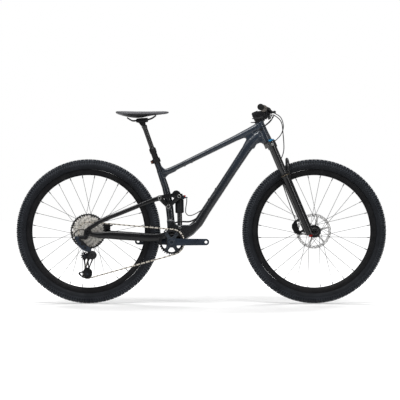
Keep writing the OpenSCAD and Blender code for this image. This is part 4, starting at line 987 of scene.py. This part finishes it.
# Derailleur: pierced cage plates, a full knuckle and a forged link
outer_cage = [
    (-566, 265), (-556, 268), (-544, 264), (-539.5, 252), (-543, 241), (-551, 224), (-562, 200), (-567, 182),
    (-558, 172), (-554.5, 158), (-557, 144), (-566, 133), (-579, 128.5), (-594, 130), (-608, 137),
    (-620, 146), (-626, 155), (-621, 162), (-610, 165), (-600, 171), (-593, 181), (-585, 202), (-577, 226),
    (-584, 235), (-594, 235), (-602, 241), (-603, 250), (-596, 256), (-580, 258)]
cage_slot = [(-559, 228), (-569, 224), (-577, 203), (-583, 188), (-574, 185), (-567, 203)]
tail_slot = [(-616, 156), (-606, 158), (-601, 152), (-607, 145)]
cage_holes = [rounded(cage_slot), rounded(tail_slot)]
for x, z, r in ((-593.5, 140.5, 4.6), (-578, 137, 4.2), (-564.5, 146, 4.2), (-565.5, 162, 3.8)):
    cage_holes.append(ring_loop(x, z, r, count=16))
cage_holes.append(ring_loop(*CAGE_PIVOT, r=5.2, count=24))
inner_cage = [
    (-602, 250), (-594, 257), (-583, 253), (-578, 238), (-573, 204), (-567, 178), (-558, 166), (-556, 150),
    (-563, 136), (-577, 129.5), (-592, 132), (-602, 142), (-604, 156), (-599, 170), (-596, 190), (-599, 215),
    (-604, 238)]
inner_slot = [(-592, 228), (-584, 228), (-580, 206), (-578, 186), (-587, 186), (-590, 206)]
for name, loops, y in (("cage_outer_plate", [rounded(outer_cage)] + cage_holes, -51.3),
                       ("cage_inner_plate", [rounded(inner_cage), rounded(inner_slot)], -37.9)):
    plate = side_plate(name, loops, y, thick=1.8, soft=0.4)
    fit(plate, "alloy", "cage", "derailleur_cage")
pulley_bolt = [
    (0.0, -52.9), (1.6, -52.9), (1.9, -53.9), (4.0, -53.9), (4.8, -53.2), (4.8, -52.1), (2.95, -52.1),
    (2.95, -38.9), (4.4, -38.9), (4.4, -36.6), (0.0, -36.6)]
for name, place in (("guide_bolt", GUIDE_PULLEY), ("tension_bolt", TENSION_PULLEY)):
    fit(turned(name, pulley_bolt, place, steps=24), "link", "cage", "derailleur_cage")
drum = [
    (0.0, -88.0), (5.2, -88.0), (5.8, -90.5), (9.0, -91.0), (15.0, -90.6), (19.4, -88.4), (21.6, -84.0),
    (22.0, -78.0), (21.2, -77.0), (21.2, -75.4), (22.0, -74.4), (22.0, -60.0), (20.0, -55.2), (0.0, -55.2)]
fit(turned("knuckle_drum", drum, KNUCKLE, steps=48), "plastic", "rear_triangle")
link_loop = [
    (-641, 337), (-634, 347), (-621, 343), (-606, 328), (-588, 303), (-568, 291), (-557, 279), (-563, 267),
    (-582, 268), (-608, 281), (-622, 304), (-635, 326)]
link_dips = [ring_loop(-603.5, 304, r=6.0, count=20), ring_loop(-587.5, 287, r=5.0, count=20)]
link_cover = side_plate("link_cover", [rounded(link_loop)] + link_dips, y=-112.6, thick=8.0, soft=2.4,
                        slope=0.32, origin=-634.0)
fit(link_cover, "link", "rear_triangle")

# Rubber boots where the hoses enter the head tube, as places along the hose and radii
BOOT_RADII = ((-9.0, 3.1), (-7.5, 3.9), (-2.0, 4.3), (0.5, 5.6), (2.0, 6.2), (6.0, 6.2))
for end, line in (("left", left_brake), ("right", shift_run)):
    inward = (line[-1] - line[-3]).normalized()
    aim = Vector((0.0, 1.0, 0.0)).rotation_difference(inward).to_matrix().to_4x4()
    boot = lathe(f"hose_boot_{end}", [(r / 1000.0, along / 1000.0) for along, r in BOOT_RADII], steps=32)
    boot.matrix_world = Matrix.Translation(line[-1]) @ aim
    settle(boot)
    fit(boot, "rubber_black", "frame")

# Saddle post head between the rails, and the copper bolt of the seat clamp
head_loop = [
    (-331, 928), (-331, 945.5), (-300, 949), (-275, 950), (-273, 929), (-287, 926), (-293, 905), (-309, 909),
    (-320, 923)]
post_head = side_plate("post_head", [head_loop], y=0.0, thick=30.0, soft=2.6)
fit(post_head, "alloy", "saddle")
clamp_bolt = [(0.0, 12.9), (2.0, 12.9), (2.3, 14.4), (3.8, 14.4), (4.4, 13.6), (4.4, 12.2), (0.0, 12.2)]
for side, end in SIDES:
    bolt = turned(f"clamp_bolt_{end}", on_side(clamp_bolt, side), SEAT_CLAMP, steps=24)
    fit(bolt, "copper", "frame")

# Fork: wiper seals and their bands about each leg, with profiles in metres, and the crown bolts
LEG_AHEAD = 14.0
LEG_Y = 67.0
SEAL_T = 306.6
BAND_T = 303.0
CROWN_BOLT_T = 474.0
SEAL = ((0.0173, 0.0), (0.0226, 0.0), (0.0232, 0.0012), (0.0232, 0.0028), (0.0214, 0.0036),
        (0.0206, 0.0062), (0.0186, 0.0072), (0.0173, 0.0072))
BAND = ((0.0229, 0.0), (0.0236, 0.0003), (0.0236, 0.0019), (0.0229, 0.0022))
crown_bolt = [(0.0, 88.4), (2.6, 88.4), (3.0, 89.8), (5.6, 89.8), (6.6, 88.8), (6.6, 86.0), (0.0, 86.0)]
crown_place = in_steering(LEG_AHEAD, 0.0, CROWN_BOLT_T) * 1000.0


def leg_ring(name, profile, side, t):
    """A ring turned about a fork leg, at a height along the steering axis."""
    ring = lathe(name, profile, steps=48)
    ring.matrix_world = (Matrix.Translation(in_steering(LEG_AHEAD, side * LEG_Y, t)) @ STEER_TURN
                         @ Matrix.Rotation(math.pi / 2.0, 4, "X"))
    settle(ring)
    return ring


for side, end in SIDES:
    fit(leg_ring(f"wiper_seal_{end}", SEAL, side, SEAL_T), "rubber_black", "fork_lowers")
    fit(leg_ring(f"seal_band_{end}", BAND, side, BAND_T), "brass", "fork_lowers")
    bolt = turned(f"crown_bolt_{end}", on_side(crown_bolt, side), (crown_place.x, crown_place.z), steps=28)
    fit(bolt, "silver", "steering")


# Studio: pale floor, white surround and soft lamps
FLOOR_SIZE = 60.0
FLOOR_DROP = 0.0005
FLOOR_GLOW = 0.2
FLOOR_SHEEN = 0.06
WHITE_FROM = (0.7, 1.5)
WHITE = (1.0, 1.0, 1.0, 1.0)
WORLD_FILL = 0.14
CEILING_FROM = (0.2, 0.9)
CEILING_GLOW = (0.08, 1.0)
# Each lamp's place, size and power
LAMPS = (
    ("key_lamp", (-0.6, -1.6, 3.4), (3.4, 0.9), 90.0),
    ("right_strip", (2.5, -3.2, 1.3), (0.35, 2.4), 22.0),
    ("left_strip", (-2.7, -3.0, 1.3), (0.35, 2.4), 16.0),
    ("back_lamp", (0.2, 2.2, 3.2), (2.2, 0.9), 80.0),
)
LAMP_AIM = Vector((0.0, 0.0, 0.45))
SHADOW_LAMP = "back_lamp"


def studio_floor():
    """A pale floor that keeps the shadow and fades to white further out."""
    deselect()
    bpy.ops.mesh.primitive_plane_add(size=FLOOR_SIZE, location=(0.0, 0.0, -FLOOR_DROP))
    floor = bpy.context.object
    floor.name = "studio_floor"
    f = Finish("studio_floor")
    f.colour(f.clouds(f.noise(0.6), (0.8, 0.8, 0.8), (0.82, 0.82, 0.82)))
    f.set(Roughness=0.95, Specular_IOR_Level=0.0)
    ray = f.add("ShaderNodeLightPath").outputs
    direct = f.math("MAXIMUM", ray["Is Camera Ray"], ray["Is Transmission Ray"])
    mirrored = f.math("MULTIPLY", ray["Is Glossy Ray"], FLOOR_SHEEN)
    reach = f.add("ShaderNodeVectorMath", operation="LENGTH")
    f.link(f.place, reach.inputs[0])
    white = f.spread(reach.outputs["Value"], FLOOR_GLOW, 1.0, *WHITE_FROM)
    glow = f.add("ShaderNodeEmission")
    glow.inputs["Color"].default_value = WHITE
    f.link(f.math("MAXIMUM", f.math("MULTIPLY", direct, white), mirrored), glow.inputs["Strength"])
    both = f.add("ShaderNodeAddShader")
    f.link(f.shader.outputs[0], both.inputs[0])
    f.link(glow.outputs[0], both.inputs[1])
    f.link(both.outputs[0], f.tree.nodes["Material Output"].inputs["Surface"])
    dress(floor, f.material)


def studio_world():
    """White to the eye, a bright ceiling in reflections, and a low fill on everything else."""
    world = bpy.data.worlds.new("studio")
    bpy.context.scene.world = world
    world.use_nodes = True
    w = Wiring(world.node_tree)
    ray = w.add("ShaderNodeLightPath").outputs
    split = w.add("ShaderNodeSeparateXYZ")
    w.link(w.add("ShaderNodeTexCoord").outputs["Generated"], split.inputs[0])
    ceiling = w.spread(split.outputs["Z"], *CEILING_GLOW, *CEILING_FROM)
    seen = w.math("MULTIPLY", ray["Is Glossy Ray"], ceiling)
    seen = w.math("MAXIMUM", seen, ray["Is Camera Ray"])
    seen = w.math("MAXIMUM", seen, ray["Is Transmission Ray"])
    background = w.tree.nodes["Background"]
    background.inputs["Color"].default_value = WHITE
    w.link(w.math("MAXIMUM", seen, WORLD_FILL), background.inputs["Strength"])


def studio_lamps():
    """Soft lamps aimed at the bike's middle. The one that casts the shadow isn't mirrored."""
    for name, place, size, power in LAMPS:
        bpy.ops.object.light_add(type="AREA", location=place)
        lamp = bpy.context.object
        lamp.name = name
        lamp.data.shape = "RECTANGLE"
        lamp.data.size = size[0]
        lamp.data.size_y = size[1]
        lamp.data.energy = power
        lamp.visible_glossy = name != SHADOW_LAMP
        lamp.rotation_euler = (LAMP_AIM - Vector(place)).to_track_quat("-Z", "Y").to_euler()


studio_floor()
studio_world()
studio_lamps()
